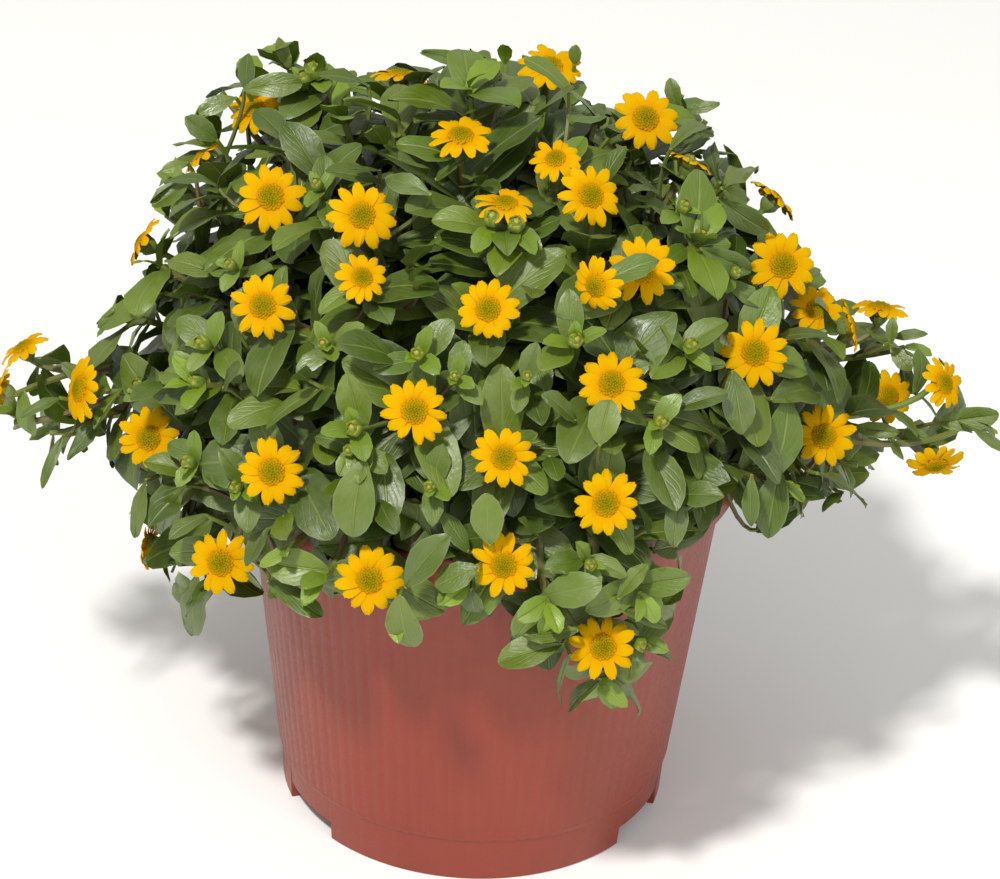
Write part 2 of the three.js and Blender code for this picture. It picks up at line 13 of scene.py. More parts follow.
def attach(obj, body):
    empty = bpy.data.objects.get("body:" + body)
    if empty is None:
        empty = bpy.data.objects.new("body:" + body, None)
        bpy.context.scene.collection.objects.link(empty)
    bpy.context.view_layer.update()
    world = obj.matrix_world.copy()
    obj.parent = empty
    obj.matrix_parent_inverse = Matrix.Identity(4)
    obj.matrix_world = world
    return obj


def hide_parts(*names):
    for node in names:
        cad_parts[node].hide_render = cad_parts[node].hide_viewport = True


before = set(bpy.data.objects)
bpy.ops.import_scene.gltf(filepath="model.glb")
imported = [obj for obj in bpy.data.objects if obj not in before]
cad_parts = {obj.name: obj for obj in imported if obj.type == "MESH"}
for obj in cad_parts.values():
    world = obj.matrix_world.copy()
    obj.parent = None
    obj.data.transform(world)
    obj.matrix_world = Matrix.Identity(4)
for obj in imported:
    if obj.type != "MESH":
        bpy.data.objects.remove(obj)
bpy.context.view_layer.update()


# Camera: far away with a long lens, looking down at the front of the plant, and rolled a little.
camera_aim = Vector((3.3, 0.0, 101.2)) / 1000
camera_distance = 1.2
camera_elevation = math.radians(31.26)
camera_roll = math.radians(2.74)
camera_lens = 171.03

back = Vector((0, -math.cos(camera_elevation), math.sin(camera_elevation)))
right = Vector((1, 0, 0))
rise = back.cross(right)
lens_right = right * math.cos(camera_roll) + rise * math.sin(camera_roll)
lens_up = rise * math.cos(camera_roll) - right * math.sin(camera_roll)
camera_data = bpy.data.cameras.new("camera")
camera_data.lens = camera_lens
camera_data.sensor_width = 36
camera_data.clip_end = 20
camera = bpy.data.objects.new("camera", camera_data)
camera.matrix_world = Matrix.Translation(camera_aim + back * camera_distance) @ Matrix(
    (lens_right, lens_up, back)
).transposed().to_4x4()
bpy.context.collection.objects.link(camera)
bpy.context.scene.camera = camera
bpy.context.scene.view_settings.view_transform = "Standard"


# Studio light: one soft lamp high on the left of the front, a wide weak one on the right, and white walls
# all round, over a plain white floor.
def lamp(name, bearing, height, distance, size, power, colour):
    """An area lamp that looks at the plant from a bearing round the front and a height above level."""
    data = bpy.data.lights.new(name, "AREA")
    data.shape = "DISK"
    data.size = size
    data.energy = power
    data.color = colour
    flat = math.cos(math.radians(height))
    way = Vector((
        math.sin(math.radians(bearing)) * flat,
        -math.cos(math.radians(bearing)) * flat,
        math.sin(math.radians(height)),
    ))
    made = bpy.data.objects.new(name, data)
    made.location = Vector((0, 0, 0.1)) + way * distance
    made.rotation_euler = way.to_track_quat("Z", "Y").to_euler()
    bpy.context.collection.objects.link(made)


lamp("key_lamp", bearing=-24, height=56, distance=2.0, size=0.18, power=36, colour=(1.0, 0.97, 0.92))
lamp("side_lamp", bearing=32, height=32, distance=2.2, size=1.4, power=10, colour=(0.95, 0.97, 1.0))

wall_white, wall_strength = (1.0, 0.99, 0.94, 1), 0.56
walls = bpy.data.worlds.new("white_walls")
walls.use_nodes = True
walls.node_tree.nodes["Background"].inputs["Color"].default_value = wall_white
walls.node_tree.nodes["Background"].inputs["Strength"].default_value = wall_strength
bpy.context.scene.world = walls


def build(name, points, faces, material_of_face, materials, maps=None, state=None, crease=32):
    """A smooth mesh object from points in mm. maps is a UV for each point, and state three numbers for it.
    Edges that turn by more than the crease angle, in degrees, stay sharp."""
    mesh = bpy.data.meshes.new(name)
    mesh.from_pydata(np.asarray(points) / 1000, [], faces)
    for material in materials:
        mesh.materials.append(material)
    mesh.polygons.foreach_set("material_index", np.asarray(material_of_face, np.int32))
    mesh.polygons.foreach_set("use_smooth", np.ones(len(mesh.polygons), bool))
    corner = np.empty(len(mesh.loops), np.int32)
    mesh.loops.foreach_get("vertex_index", corner)
    if maps is not None:
        layer = mesh.uv_layers.new(name="across_along")
        layer.uv.foreach_set("vector", np.asarray(maps, np.float32)[corner].ravel())
    if state is not None:
        attribute = mesh.attributes.new("state", "FLOAT_VECTOR", "POINT")
        attribute.data.foreach_set("vector", np.asarray(state, np.float32).ravel())
    mesh.set_sharp_from_angle(angle=math.radians(crease))
    mesh.update()
    made = bpy.data.objects.new(name, mesh)
    bpy.context.collection.objects.link(made)
    return made


def new_material(name, roughness):
    """A Principled material, and a function that adds a node to it with settings and links."""
    material = bpy.data.materials.new(name)
    material.use_nodes = True
    tree = material.node_tree
    shader = tree.nodes["Principled BSDF"]
    shader.inputs["Roughness"].default_value = roughness

    def node(kind, settings=(), **inputs):
        made = tree.nodes.new("ShaderNode" + kind)
        for key, value in dict(settings).items():
            setattr(made, key, value)
        for key, value in inputs.items():
            socket = made.inputs[int(key[1:])] if key[1:].isdigit() else made.inputs[key.replace("_", " ")]
            if isinstance(value, bpy.types.NodeSocket):
                tree.links.new(value, socket)
            else:
                socket.default_value = value
        return made.outputs

    def join(socket, name):
        tree.links.new(socket, shader.inputs[name])

    return material, shader, node, join


def blend(node, share, first, second):
    """The first colour, with a share of the second mixed in."""
    first, second = ((*colour, 1) if isinstance(colour, tuple) else colour for colour in (first, second))
    return node("MixRGB", Fac=share, Color1=first, Color2=second)["Color"]


floor_white, _, node, join = new_material("floor_white", 0.7)
grain = node("TexNoise", Vector=node("TexCoord")["Object"], Scale=3.0, Detail=2.0)["Fac"]
join(blend(node, grain, (0.90, 0.90, 0.905), (0.93, 0.93, 0.935)), "Base Color")
floor_half = 4000.0
floor_corners = [(x * floor_half, y * floor_half, 0) for x, y in ((-1, -1), (1, -1), (1, 1), (-1, 1))]
floor = build("floor", floor_corners, [(0, 1, 2, 3)], [0], [floor_white])


# Pot: moulded in one piece from terracotta-coloured plastic, with shallow upright flutes on its tapered
# wall, a turned-out lip, and a foot ring with three notches and a seam line where the mould parts met.
pot_height, lip_radius, lip_drop, wall_thick = 106.0, 65.0, 9.0, 1.8
top_radius, base_radius = 60.8, 49.6
foot_height, foot_radius, foot_wall, foot_edge = 13.0, 50.4, 3.0, 0.8
floor_lift, floor_thick, hub = 5.5, 2.2, 0.4
lip_wall, lip_flare, corner_round = 1.4, 0.4, 0.7
flutes, flute_depth, flute_sides = 96, 0.13, 8
flute_from, flute_to, flute_rows = 1.2, 1.5, 14
notch_count, notch_width, notch_height, notch_first, notch_slack = 3, 21.0, 5.0, -57.0, 0.4
drain_count, drain_radius, drain_ring = 6, 3.2, 30.0


def wall_at(z):
    """The outer wall's radius at a height: a straight taper from the base up to under the lip."""
    return base_radius + (top_radius - base_radius) * z / (pot_height - lip_drop)


def rounded(profile, radius, steps=3):
    """A profile with each corner cut by a small curve: a quadratic arc that starts and ends radius away."""
    made = [profile[0]]
    for before, corner, after in zip(profile, profile[1:], profile[2:]):
        before, corner, after = (np.array(p, float) for p in (before, corner, after))
        into, out = corner - before, after - corner
        reach_in = min(radius, np.linalg.norm(into) * 0.4) / np.linalg.norm(into)
        reach_out = min(radius, np.linalg.norm(out) * 0.4) / np.linalg.norm(out)
        start, end = corner - into * reach_in, corner + out * reach_out
        for k in range(steps + 1):
            t = k / steps
            made.append((1 - t) ** 2 * start + 2 * t * (1 - t) * corner + t * t * end)
    made.append(profile[-1])
    return np.array(made, float)


def spun(profile, sides, ripple=0.0):
    """Rings of points round the axis for each radius and height, rippled once for every other side."""
    angle = 2 * np.pi * np.arange(sides) / sides
    profile = np.array(profile, float)
    r = profile[:, :1] * (1 + ripple * np.cos(angle * sides / 2))
    z = profile[:, 1:] * np.ones(sides)
    return np.stack([r * np.cos(angle), r * np.sin(angle), z], -1).reshape(-1, 3)


def ring_faces(rows, sides):
    """Faces between rings of points, with a flat end on the first ring and on the last."""
    i, k = np.meshgrid(np.arange(rows - 1), np.arange(sides), indexing="ij")
    a = i * sides + k
    b = i * sides + (k + 1) % sides
    faces = np.stack([a, b, b + sides, a + sides], -1).reshape(-1, 4).tolist()
    faces.append(list(range(sides))[::-1])
    faces.append([(rows - 1) * sides + k for k in range(sides)])
    return faces


def ramp(node, share, *stops):
    """The colour at a share, in straight steps between stops of a position and a colour."""
    colour = node("ValToRGB", Fac=share)["Color"]
    marks = colour.node.color_ramp.elements
    marks[0].position, marks[1].position = stops[0][0], stops[-1][0]
    for position, _ in stops[1:-1]:
        marks.new(position)
    for mark, (_, mark_colour) in zip(marks, stops):
        mark.color = (*mark_colour, 1)
    return colour


def maths(node, operation, *values):
    return node("Math", {"operation": operation}, **{f"_{i}": value for i, value in enumerate(values)})[0]


def between(node, value, low, high, start, end):
    """From start to end while the value goes from low to high, and no further."""
    return node("MapRange", Value=value, _1=low, _2=high, _3=start, _4=end)["Result"]


def bump(node, strength, distance, height):
    return node("Bump", Strength=strength, Distance=distance, Height=height)["Normal"]


pot_under = pot_height - lip_drop
inner_floor = floor_lift + floor_thick
wall_rows = np.linspace(foot_height + flute_from, pot_under - flute_to, flute_rows)
pot_profile = rounded(
    [
        (hub, floor_lift),
        (foot_radius - foot_wall - 0.2, floor_lift),
        (foot_radius - foot_wall, 0),
        (foot_radius - foot_edge, 0),
        (foot_radius, foot_height - 0.6),
        (wall_at(foot_height), foot_height),
        *[(wall_at(z), z) for z in wall_rows],
        (wall_at(pot_under), pot_under),
        (lip_radius - lip_flare, pot_under),
        (lip_radius, pot_height),
        (lip_radius - lip_wall, pot_height),
        (wall_at(pot_height) - wall_thick, pot_height - 2),
        (wall_at(inner_floor) - wall_thick - 0.6, inner_floor),
        (hub, inner_floor),
    ],
    corner_round,
)
pot_sides = flutes * flute_sides
around = 2 * np.pi * np.arange(pot_sides) / pot_sides
radii = pot_profile[:, :1] * np.ones(pot_sides)
heights = pot_profile[:, 1:] * np.ones(pot_sides)
on_wall = (
    (np.abs(radii - wall_at(heights)) < 0.05)
    & (heights > foot_height + 1)
    & (heights < pot_under - 1)
)
flute_wave = (0.5 - 0.5 * np.cos(flutes * around)) ** 2
radii = radii - on_wall * flute_depth * flute_wave
bearing = np.degrees(np.arctan2(np.sin(around), np.cos(around)))
in_notch = np.zeros(pot_sides, bool)
for turn_step in range(notch_count):
    middle_bearing = notch_first - 90 + 360 / notch_count * turn_step
    off = np.radians((bearing - middle_bearing + 180) % 360 - 180)
    in_notch |= np.abs(foot_radius * off) < notch_width / 2
near_foot = (radii > foot_radius - foot_wall - notch_slack) & (heights < foot_height)
near_foot &= radii < wall_at(heights) + 0.3
lifted = np.maximum(heights, notch_height + 0.02 * heights)
heights = np.where(near_foot & in_notch, lifted, heights)
pot_points = np.stack([radii * np.cos(around), radii * np.sin(around), heights], -1).reshape(-1, 3)
pot_faces = ring_faces(len(pot_profile), pot_sides)

pot_plastic, shader, node, join = new_material("pot_plastic", 0.42)
place = node("TexCoord")["Object"]
clouds = node("TexNoise", Vector=place, Scale=22.0, Detail=3.0, Roughness=0.6)["Fac"]
streak_place = node("Mapping", Vector=place, Scale=(1.0, 1.0, 0.06))["Vector"]
streaks = node("TexNoise", Vector=streak_place, Scale=420.0, Detail=2.0)["Fac"]
mixed = maths(node, "MULTIPLY_ADD", streaks, 0.35, clouds)
join(ramp(node, mixed, (0.30, (0.206, 0.021, 0.006)), (0.95, (0.260, 0.037, 0.014))), "Base Color")
grain = node("TexNoise", Vector=place, Scale=900.0, Detail=3.0)["Fac"]
join(between(node, grain, 0.3, 0.7, 0.36, 0.50), "Roughness")
relief = maths(node, "MULTIPLY_ADD", streaks, 0.6, grain)
join(bump(node, 0.10, 0.0004, relief), "Normal")
shader.inputs["Specular IOR Level"].default_value = 0.5

pot = build("ribbed_pot", pot_points, pot_faces, np.zeros(len(pot_faces)), [pot_plastic])
hole_angle = 2 * np.pi * (np.arange(drain_count) + 0.5) / drain_count
hole_at = drain_ring * np.stack([np.cos(hole_angle), np.sin(hole_angle), 0 * hole_angle], -1)
hole_sides = 24
hole_tube = spun([(drain_radius, floor_lift - 3), (drain_radius, inner_floor + 3)], hole_sides)
tube_faces = ring_faces(2, hole_sides)
cutter = build(
    "drain_holes",
    (hole_at[:, None] + hole_tube).reshape(-1, 3),
    [[v + 2 * hole_sides * i for v in face] for i in range(drain_count) for face in tube_faces],
    np.zeros(drain_count * len(tube_faces)),
    [],
)
cut = pot.modifiers.new("drain_holes", "BOOLEAN")
cut.object = cutter
cut.solver = "MANIFOLD"
bpy.context.view_layer.update()
cut_mesh = bpy.data.meshes.new_from_object(pot.evaluated_get(bpy.context.evaluated_depsgraph_get()))
pot.modifiers.clear()
pot.data = cut_mesh
bpy.data.objects.remove(cutter)
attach(pot, "root")
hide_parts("pot")


# Soil: dark peat with bark crumbs, filled to just below the lip, and lumpy on top where it was watered.
soil_top, soil_crown, soil_gap = 97.0, 3.0, 0.5
soil_rng = np.random.default_rng(5)


def waves(points, count, length, seed):
    """Even noise: a sum of sine waves in random directions, each about one length long, from -1 to 1."""
    rng = np.random.default_rng(seed)
    ways = rng.normal(size=(count, 3))
    ways /= np.linalg.norm(ways, axis=1, keepdims=True)
    lengths = length * rng.uniform(0.6, 1.6, count)
    phases = rng.uniform(0, 2 * np.pi, count)
    return np.sin(points @ ways.T * (2 * np.pi / lengths) + phases).sum(1) / math.sqrt(count / 2) / 2


def soil_wall(z):
    return wall_at(z) - wall_thick - soil_gap


soil_floor = inner_floor + 0.3
soil_profile = np.array(
    [
        (0.3, soil_floor),
        (soil_wall(soil_floor) - 1.0, soil_floor),
        *[(soil_wall(z), z) for z in (soil_floor + 1, 40, 70, soil_top - soil_crown)],
        *[
            (soil_wall(soil_top) * (1 - t), soil_top - soil_crown * (1 - t) ** 3)
            for t in np.linspace(0.02, 0.995, 46)
        ],
    ]
)
soil_sides = 132
soil_points = spun(soil_profile, soil_sides)
loose = np.repeat((np.arange(len(soil_profile)) > 6) * 1.0, soil_sides)
soil_points[:, 2] += loose * (0.9 * waves(soil_points, 24, 9, 1) + 0.6 * waves(soil_points, 32, 3.2, 2) - 0.6)
soil_faces = ring_faces(len(soil_profile), soil_sides)

crumb_count, crumb_sunk = 420, 0.4
crumb_way = soil_rng.uniform(0, 2 * np.pi, crumb_count)
crumb_out = np.sqrt(soil_rng.uniform(0, 1, crumb_count)) * (soil_wall(soil_top) - 3)
crumb_high = soil_top - crumb_sunk - soil_crown * (crumb_out / soil_wall(soil_top)) ** 3
crumb_at = np.stack([crumb_out * np.cos(crumb_way), crumb_out * np.sin(crumb_way), crumb_high], -1)
ball = np.array([(0, 0, 1), (1, 0, 0), (0, 1, 0), (-1, 0, 0), (0, -1, 0), (0, 0, -1)], float)
ball_sides = ((1, 2), (2, 3), (3, 4), (4, 1))
ball_faces = np.array([(0, a, b) for a, b in ball_sides] + [(5, b, a) for a, b in ball_sides])
crumb_size = soil_rng.uniform(0.5, 1.6, (crumb_count, 1, 1)) * soil_rng.uniform(0.6, 1.3, (crumb_count, 6, 1))
crumbs = crumb_at[:, None] + ball * crumb_size
start = len(soil_points) + 6 * np.arange(crumb_count)[:, None, None]
soil_faces += (ball_faces + start).reshape(-1, 3).tolist()
soil_points = np.concatenate([soil_points, crumbs.reshape(-1, 3)])

peat, shader, node, join = new_material("peat", 0.95)
place = node("TexCoord")["Object"]
lumps = node("TexVoronoi", Vector=place, Scale=420.0)["Distance"]
damp = node("TexNoise", Vector=place, Scale=260.0, Detail=5.0)["Fac"]
join(ramp(node, damp, (0.35, (0.008, 0.005, 0.003)), (0.72, (0.060, 0.036, 0.020))), "Base Color")
join(bump(node, 0.7, 0.0008, lumps), "Normal")
soil = build("potting_soil", soil_points, soil_faces, np.zeros(len(soil_faces)), [peat], crease=60)
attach(soil, "root")
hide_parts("soil")


# Shoots: the plant has eight main stems, and each branches into shoots that arch out of the mound and over
# the lip. A shoot ends in a bloom, a bud or young leaves, so where the tips are settles everything else.
mound_centre, mound_side, mound_front, mound_tall, mound_back = 108.0, 88.0, 84.0, 87.0, 1.07
mound = np.array([mound_side, mound_front, mound_tall])
middle = np.array([0.0, 0.0, mound_centre])
sector_edges = [-162, -112, -58, -4, 46, 108, 153]
crown_radius, crown_number, crown_ring = 33.0, 7, 17.0
core_radius, core_hidden = 67.0, 64.0
tip_spacing, fill_tips, fill_share, plain_blooms = 23.5, 260, 1.42, 6
bloom_chance, bud_chance = 0.42, 0.45
spread_high, spread_low, spread_below = 1.3, 0.8, 0.12
golden_turn = 137.508
sight_aim = np.array([3.3, 0.0, 100.5])
sight_distance, sight_elevation, sight_roll, sight_focal = 1200.0, 31.0, 2.75, 4750.0
sight_centre = (500.0, 439.5)
up = np.array([0.0, 0.0, 1.0])

# Blooms: pixel across, pixel down, the way the face is turned, its rise, its size and how far it stands off
# the mound.
seen_blooms = [
    (603, 643, 2, 26, 1.02), (504, 561, 0, 26, 1), (370, 576, -4, 26, 1.04), (221, 559, -8, 22, 1.04),
    (606, 499, 4, 28, 1.02), (504, 453, 0, 30, 0.95), (415, 407, -2, 30, 1), (272, 468, -4, 30, 1.03),
    (149, 435, -8, 32, 1), (82, 386, -62, 20, 1.05, 10), (24, 346, -95, 58, 0.85, -10),
    (2, 388, -95, 10, 0.8, 2), (150, 541, -105, 0, 0.85), (263, 302, -4, 32, 1), (362, 274, 15, 46, 0.82),
    (362, 212, 5, 36, 1.03), (271, 194, -8, 38, 1.07), (143, 240, -98, 25, 0.9), (203, 154, -110, 45, 0.8),
    (255, 107, -35, 60, 0.9), (400, 74, 175, 72, 0.95), (461, 134, 0, 76, 1), (505, 196, 0, 84, 0.95),
    (550, 65, 12, 70, 1.02), (648, 120, 14, 46, 1.05), (587, 190, 20, 40, 0.98), (556, 156, -20, 62, 0.8),
    (597, 281, -32, 8, 0.88, 9), (643, 266, 4, 34, 1.04), (478, 304, 2, 30, 0.95), (612, 380, 2, 42, 1.02),
    (783, 262, 10, 34, 1.08), (755, 349, 6, 32, 1.06), (817, 308, 18, 56, 0.9), (849, 322, 100, 15, 0.85, 22),
    (880, 307, 160, 76, 0.95), (887, 394, 26, 32, 0.92), (943, 381, 48, 36, 0.86, 8),
    (936, 460, 10, -28, 0.95), (824, 433, 2, 28, 1), (690, 160, 140, 50, 0.8),
]
# Leafy tips that stand out of the mound: pixel across, pixel down and how far each stands off it.
seen_tips = [
    (318, 72, -6), (284, 56, -12), (256, 72, -16), (222, 90, -18), (200, 128, -20), (186, 180, -12),
    (166, 212, -12), (158, 262, 8), (345, 108), (384, 92, -10), (430, 66, 4), (470, 84, 10), (505, 62, -8),
    (575, 60, -14), (598, 112, -8), (682, 92, -14), (706, 118, -6), (716, 165, 8), (748, 195, -6),
    (700, 235), (905, 345, -10), (970, 418), (858, 462, 8), (780, 478), (50, 430, -14), (14, 420, -12),
    (112, 305, -6), (140, 500, -8), (196, 598, -6), (398, 610), (640, 590), (455, 580), (322, 575),
    (548, 600), (600, 680), (290, 545),
]


# The mound's outline in the photograph, as pixels across and down: its top, and the hem that hangs over the
# pot. Behind the mound and the pot nothing of it is seen.
outline_top = np.array([
    (0, 352), (40, 335), (80, 322), (120, 285), (160, 166), (200, 97), (240, 56), (280, 32), (320, 52),
    (360, 70), (440, 46), (520, 40), (560, 55), (600, 100), (640, 92), (680, 76), (720, 100), (760, 206),
    (840, 290), (960, 366), (1000, 400),
])
outline_hem = np.array([
    (0, 415), (45, 487), (80, 447), (110, 470), (150, 568), (196, 634), (240, 594), (300, 604), (335, 590),
    (400, 642), (430, 604), (480, 608), (530, 664), (575, 704), (640, 708), (672, 650), (690, 562),
    (735, 505), (775, 532), (815, 500), (860, 502), (885, 447), (930, 478), (1000, 440),
])
outline_hidden = 50


def facing(yaw, rise):
    """The unit vector that is turned by yaw from the front, to the right, and raised above level."""
    yaw, rise = math.radians(yaw), math.radians(rise)
    return np.array([math.sin(yaw) * math.cos(rise), -math.cos(yaw) * math.cos(rise), math.sin(rise)])


def unit(v):
    return v / np.linalg.norm(v, axis=-1, keepdims=True)


def draws(seed):
    """Even draws from 0 to 1: each state is 16807 times the one before, modulo 2147483647."""
    state = seed * 7919 + 17

    def draw():
        nonlocal state
        state = state * 16807 % 2147483647
        return state / 2147483647

    draw()
    draw()
    return draw


def span_of(i):
    return sector_edges[i], sector_edges[i + 1] if i + 1 < crown_number else sector_edges[0] + 360


side_walls = [
    np.array([facing(span_of(i)[0] + 90, 0), facing(span_of(i)[1] - 90, 0)]) for i in range(crown_number)
]


def share_of(point):
    """The number of the main stem that feeds a place: the crown's near the axis, else its sector's."""
    if math.hypot(point[0], point[1]) < crown_radius:
        return crown_number
    yaw = math.degrees(math.atan2(point[0], -point[1]))
    return max([i for i, edge in enumerate(sector_edges) if yaw >= edge], default=crown_number - 1)


def within(points, share):
    """How far each point is inside a main stem's share: the least of its distances to the bounds."""
    flat = np.hypot(points[..., 0], points[..., 1])
    if share == crown_number:
        return crown_radius - flat
    return np.minimum(flat - crown_radius, (points @ side_walls[share].T).min(-1))


def push_in(point, share, margin):
    """The same point moved in until it is margin inside its share."""
    point = point.copy()
    flat = max(1e-6, math.hypot(point[0], point[1]))
    inner = share == crown_number
    out = min(flat, crown_radius - margin) if inner else max(flat, crown_radius + margin)
    point[:2] *= out / flat
    if not inner:
        for wall in side_walls[share]:
            point += wall * max(0.0, margin - point @ wall)
    return point


def spot_on_ball(i, count, share):
    """Spot i of an even spiral over a ball, from its top down through a share of its height."""
    z = 1 - i / count * share
    flat = math.sqrt(1 - z * z)
    angle = math.radians(i * golden_turn)
    return np.array([flat * math.sin(angle), -flat * math.cos(angle), z]), draws(i + 500)


sight_back, sight_right = facing(0, sight_elevation), np.array([1.0, 0.0, 0.0])
sight_rise = np.cross(sight_back, sight_right)
sight_turn = math.cos(math.radians(sight_roll)), math.sin(math.radians(sight_roll))


def seen(across, down, nearer=0):
    """Where a line of sight through a pixel meets the mound's ellipsoid, or passes nearest to it."""
    u, w = across - sight_centre[0], sight_centre[1] - down
    c, s = sight_turn
    eye = sight_aim + sight_back * sight_distance
    ray = sight_right * (u * c - w * s) + sight_rise * (u * s + w * c) - sight_back * sight_focal
    o, d = (eye - middle) / mound, ray / mound
    along = -(o @ d) / (d @ d)
    off = ((o + d * along) ** 2).sum()
    step = math.sqrt((1 - off) / (d @ d)) if off < 1 else 0
    return eye + ray * (along - step - nearer / sight_focal)


def in_picture(points):
    """Where the photograph shows each point, in pixels across and down: the inverse of a line of sight."""
    off = points - sight_aim
    scale = sight_focal / (sight_distance - off @ sight_back)
    c, s = sight_turn
    across = sight_centre[0] + scale * (off[..., 0] * c + off @ sight_rise * s)
    return across, sight_centre[1] - scale * (off @ sight_rise * c - off[..., 0] * s)


def in_outline(points):
    """Whether each point is inside the mound's outline, or so far behind and low that it is hidden."""
    across, down = in_picture(points)
    hidden = (points[..., 1] > 0) & (np.abs(points[..., 0]) < outline_hidden)
    over_hem = down < np.interp(across, *outline_hem.T)
    return (down > np.interp(across, *outline_top.T)) & (hidden | over_hem)


def outward(point):
    return unit(unit(point - middle) + up * 0.25)


def find_tips():
    """The photograph's blooms and tips, and then even spots over the rest of the mound."""
    tips = []

    def add(kind, point, face, size):
        share = share_of(point)
        point = push_in(point, share, 3)
        tips.append({"kind": kind, "point": point, "face": face, "size": size, "share": share})

    for across, down, yaw, rise, size, *nearer in seen_blooms:
        add("bloom", seen(across, down, *nearer), facing(yaw, rise), size)
    for across, down, *nearer in seen_tips:
        point = seen(across, down, *nearer)
        add("leaf", point, outward(point), 1)
    plain = 0
    for i in range(fill_tips):
        way, draw = spot_on_ball(i, fill_tips, fill_share)
        out = (mound_back if way[1] > 0 else 1) / np.linalg.norm(way / mound)
        point = middle + way * out * (0.9 + 0.12 * draw())
        behind = way[1] > 0.1
        near = min(np.linalg.norm(tip["point"] - point) for tip in tips)
        spread = spread_low if way[2] < spread_below else spread_high
        if near < tip_spacing * (spread if behind else 1):
            continue
        blooms = behind and plain < plain_blooms and draw() < bloom_chance
        plain += blooms
        kind = "bloom" if blooms else "bud" if draw() < bud_chance else "leaf"
        add(kind, point, outward(point), 0.9 + 0.15 * draw())
    return tips


cup_bottom = -4.4
swings = [
    (0, 0), (6, 0), (-6, 0), (0, 6), (0, -6), (11, 0), (-11, 0), (8, 8), (-8, -8), (8, -8), (-8, 8),
    (0, 12), (17, 0), (-17, 0), (14, -14), (-14, -14), (24, 0), (-24, 0), (0, -18), (30, -10), (-30, -10),
]
guard_radius, guard_over, guard_under = 9.4, 8.0, 2.6
pot_clear = 1.5


def clear_of_blooms(points, blooms, radius=guard_radius, over=guard_over, under=guard_under):
    """Whether each point is outside a flat drum round every bloom."""
    places = np.array([tip["point"] for tip in blooms])
    faces = np.array([tip["face"] for tip in blooms])
    sizes = np.array([tip["size"] for tip in blooms])
    off = points[..., None, :] - places
    lift = (off * faces).sum(-1)
    flat = np.linalg.norm(off - lift[..., None] * faces, axis=-1)
    return ((lift > over) | (lift < -under) | (flat >= radius * sizes)).all(-1)


def clear_of_pot(points):
    flat = np.hypot(points[..., 0], points[..., 1])
    z = points[..., 2]
    return (z > pot_height + pot_clear) | ((z >= 3) & (flat > lip_radius + pot_clear))


def bezier(corners, t):
    """A cubic curve through the first and last of four corners, at each t from 0 to 1."""
    t = np.asarray(t, float)[:, None]
    a, b, c, d = corners
    return (1 - t) ** 3 * a + 3 * t * (1 - t) ** 2 * b + 3 * t * t * (1 - t) * c + t**3 * d


shoot_start, shoot_bow, shoot_droop, neck = 55, 62, 20, 9


def shoot_corners(tip, aside, lift):
    """The four corners of a shoot's curve, from inside the mound to its tip, bent aside by two lengths."""
    way = unit(tip["point"] - middle)
    raised = unit(np.array([way[0], way[1], max(way[2], 0.22)]))
    low = min(1.0, max(0.0, 0.25 - way[2]) / 0.4)
    level = unit(np.cross(up, way))
    bend = level * aside + np.cross(way, level) * lift
    drop = cup_bottom * tip["size"] if tip["kind"] == "bloom" else 0
    end = tip["point"] + tip["face"] * drop
    corners = [
        middle + raised * shoot_start,
        middle + raised * (shoot_bow + shoot_droop * low) + bend,
        end - tip["face"] * neck - way * 4 + bend,
        end,
    ]
    return [push_in(corner, tip["share"], 1.8) for corner in corners]


def back_from(path, distance):
    """The point and the direction of a path of points at a distance back from its end."""
    for i in range(len(path) - 1, 0, -1):
        stem = path[i] - path[i - 1]
        long = np.linalg.norm(stem)
        if distance <= long or i == 1:
            return path[i] - stem / long * min(distance, long), stem / long
        distance -= long


shoot_steps = [0, 0.58, 1]


def find_path(tip, tips):
    """The first curve that meets no other bloom and not the pot, with the points that its leaves use."""
    blooms = [other for other in tips if other is not tip and other["kind"] == "bloom"]
    for aside, lift in swings:
        corners = shoot_corners(tip, aside, lift)
        path = bezier(corners, shoot_steps)
        points = np.array([back_from(path, 2 * i)[0] for i in range(45)])
        bare = points[np.linalg.norm(points - middle, axis=1) > core_hidden]
        off_pot = clear_of_pot(bare) | (bare[:, 2] > pot_height + 1)
        if (clear_of_blooms(bare, blooms) & off_pot).all():
            return corners, path
    if tip["kind"] == "bloom":
        corners = shoot_corners(tip, *swings[0])
        return corners, bezier(corners, shoot_steps)
    return None, None


found = find_tips()
for number, tip in enumerate(found):
    tip["spin"] = 2 * math.pi * draws(number + 90)()
    tip["corners"], tip["path"] = find_path(tip, found)
tips = [tip for tip in found if tip["path"] is not None]
blooms = [tip for tip in tips if tip["kind"] == "bloom"]


# Leaves: opposite pairs along each shoot, each pair square to the last, egg-shaped and folded along the
# rib, and then single leaves that stand out of the shaded growth. They turn their faces to the light.
leaf_pairs = [(2.5, 18, 64), (8.5, 24, 56), (15, 27, 48), (27, 26, 58)]
low_leaf_long, low_leaf_open, low_leaf_spots, low_leaf_share = 29.0, 44.0, 170, 0.92
swing_round = np.radians([0, 18, -18, 36, -36, 54, -54, 75, -75])
leaf_wide, clear_of_leaf, root_sunk, share_margin, core_skin = 0.27, 4.5, 0.7, 0.8, 3
low_leaf_seed, seen_leaf_seed, rosette_seed, bud_seed, tuft_seed = 4000, 7000, 20000, 90000, 60000
probe_t = np.array([0.5, 0.75, 1, 0.3, 0.3, 0.5, 0.5, 0.8, 0.8])
probe_s = np.array([0, 0, 0, 1, -1, 1, -1, 1, -1.0])


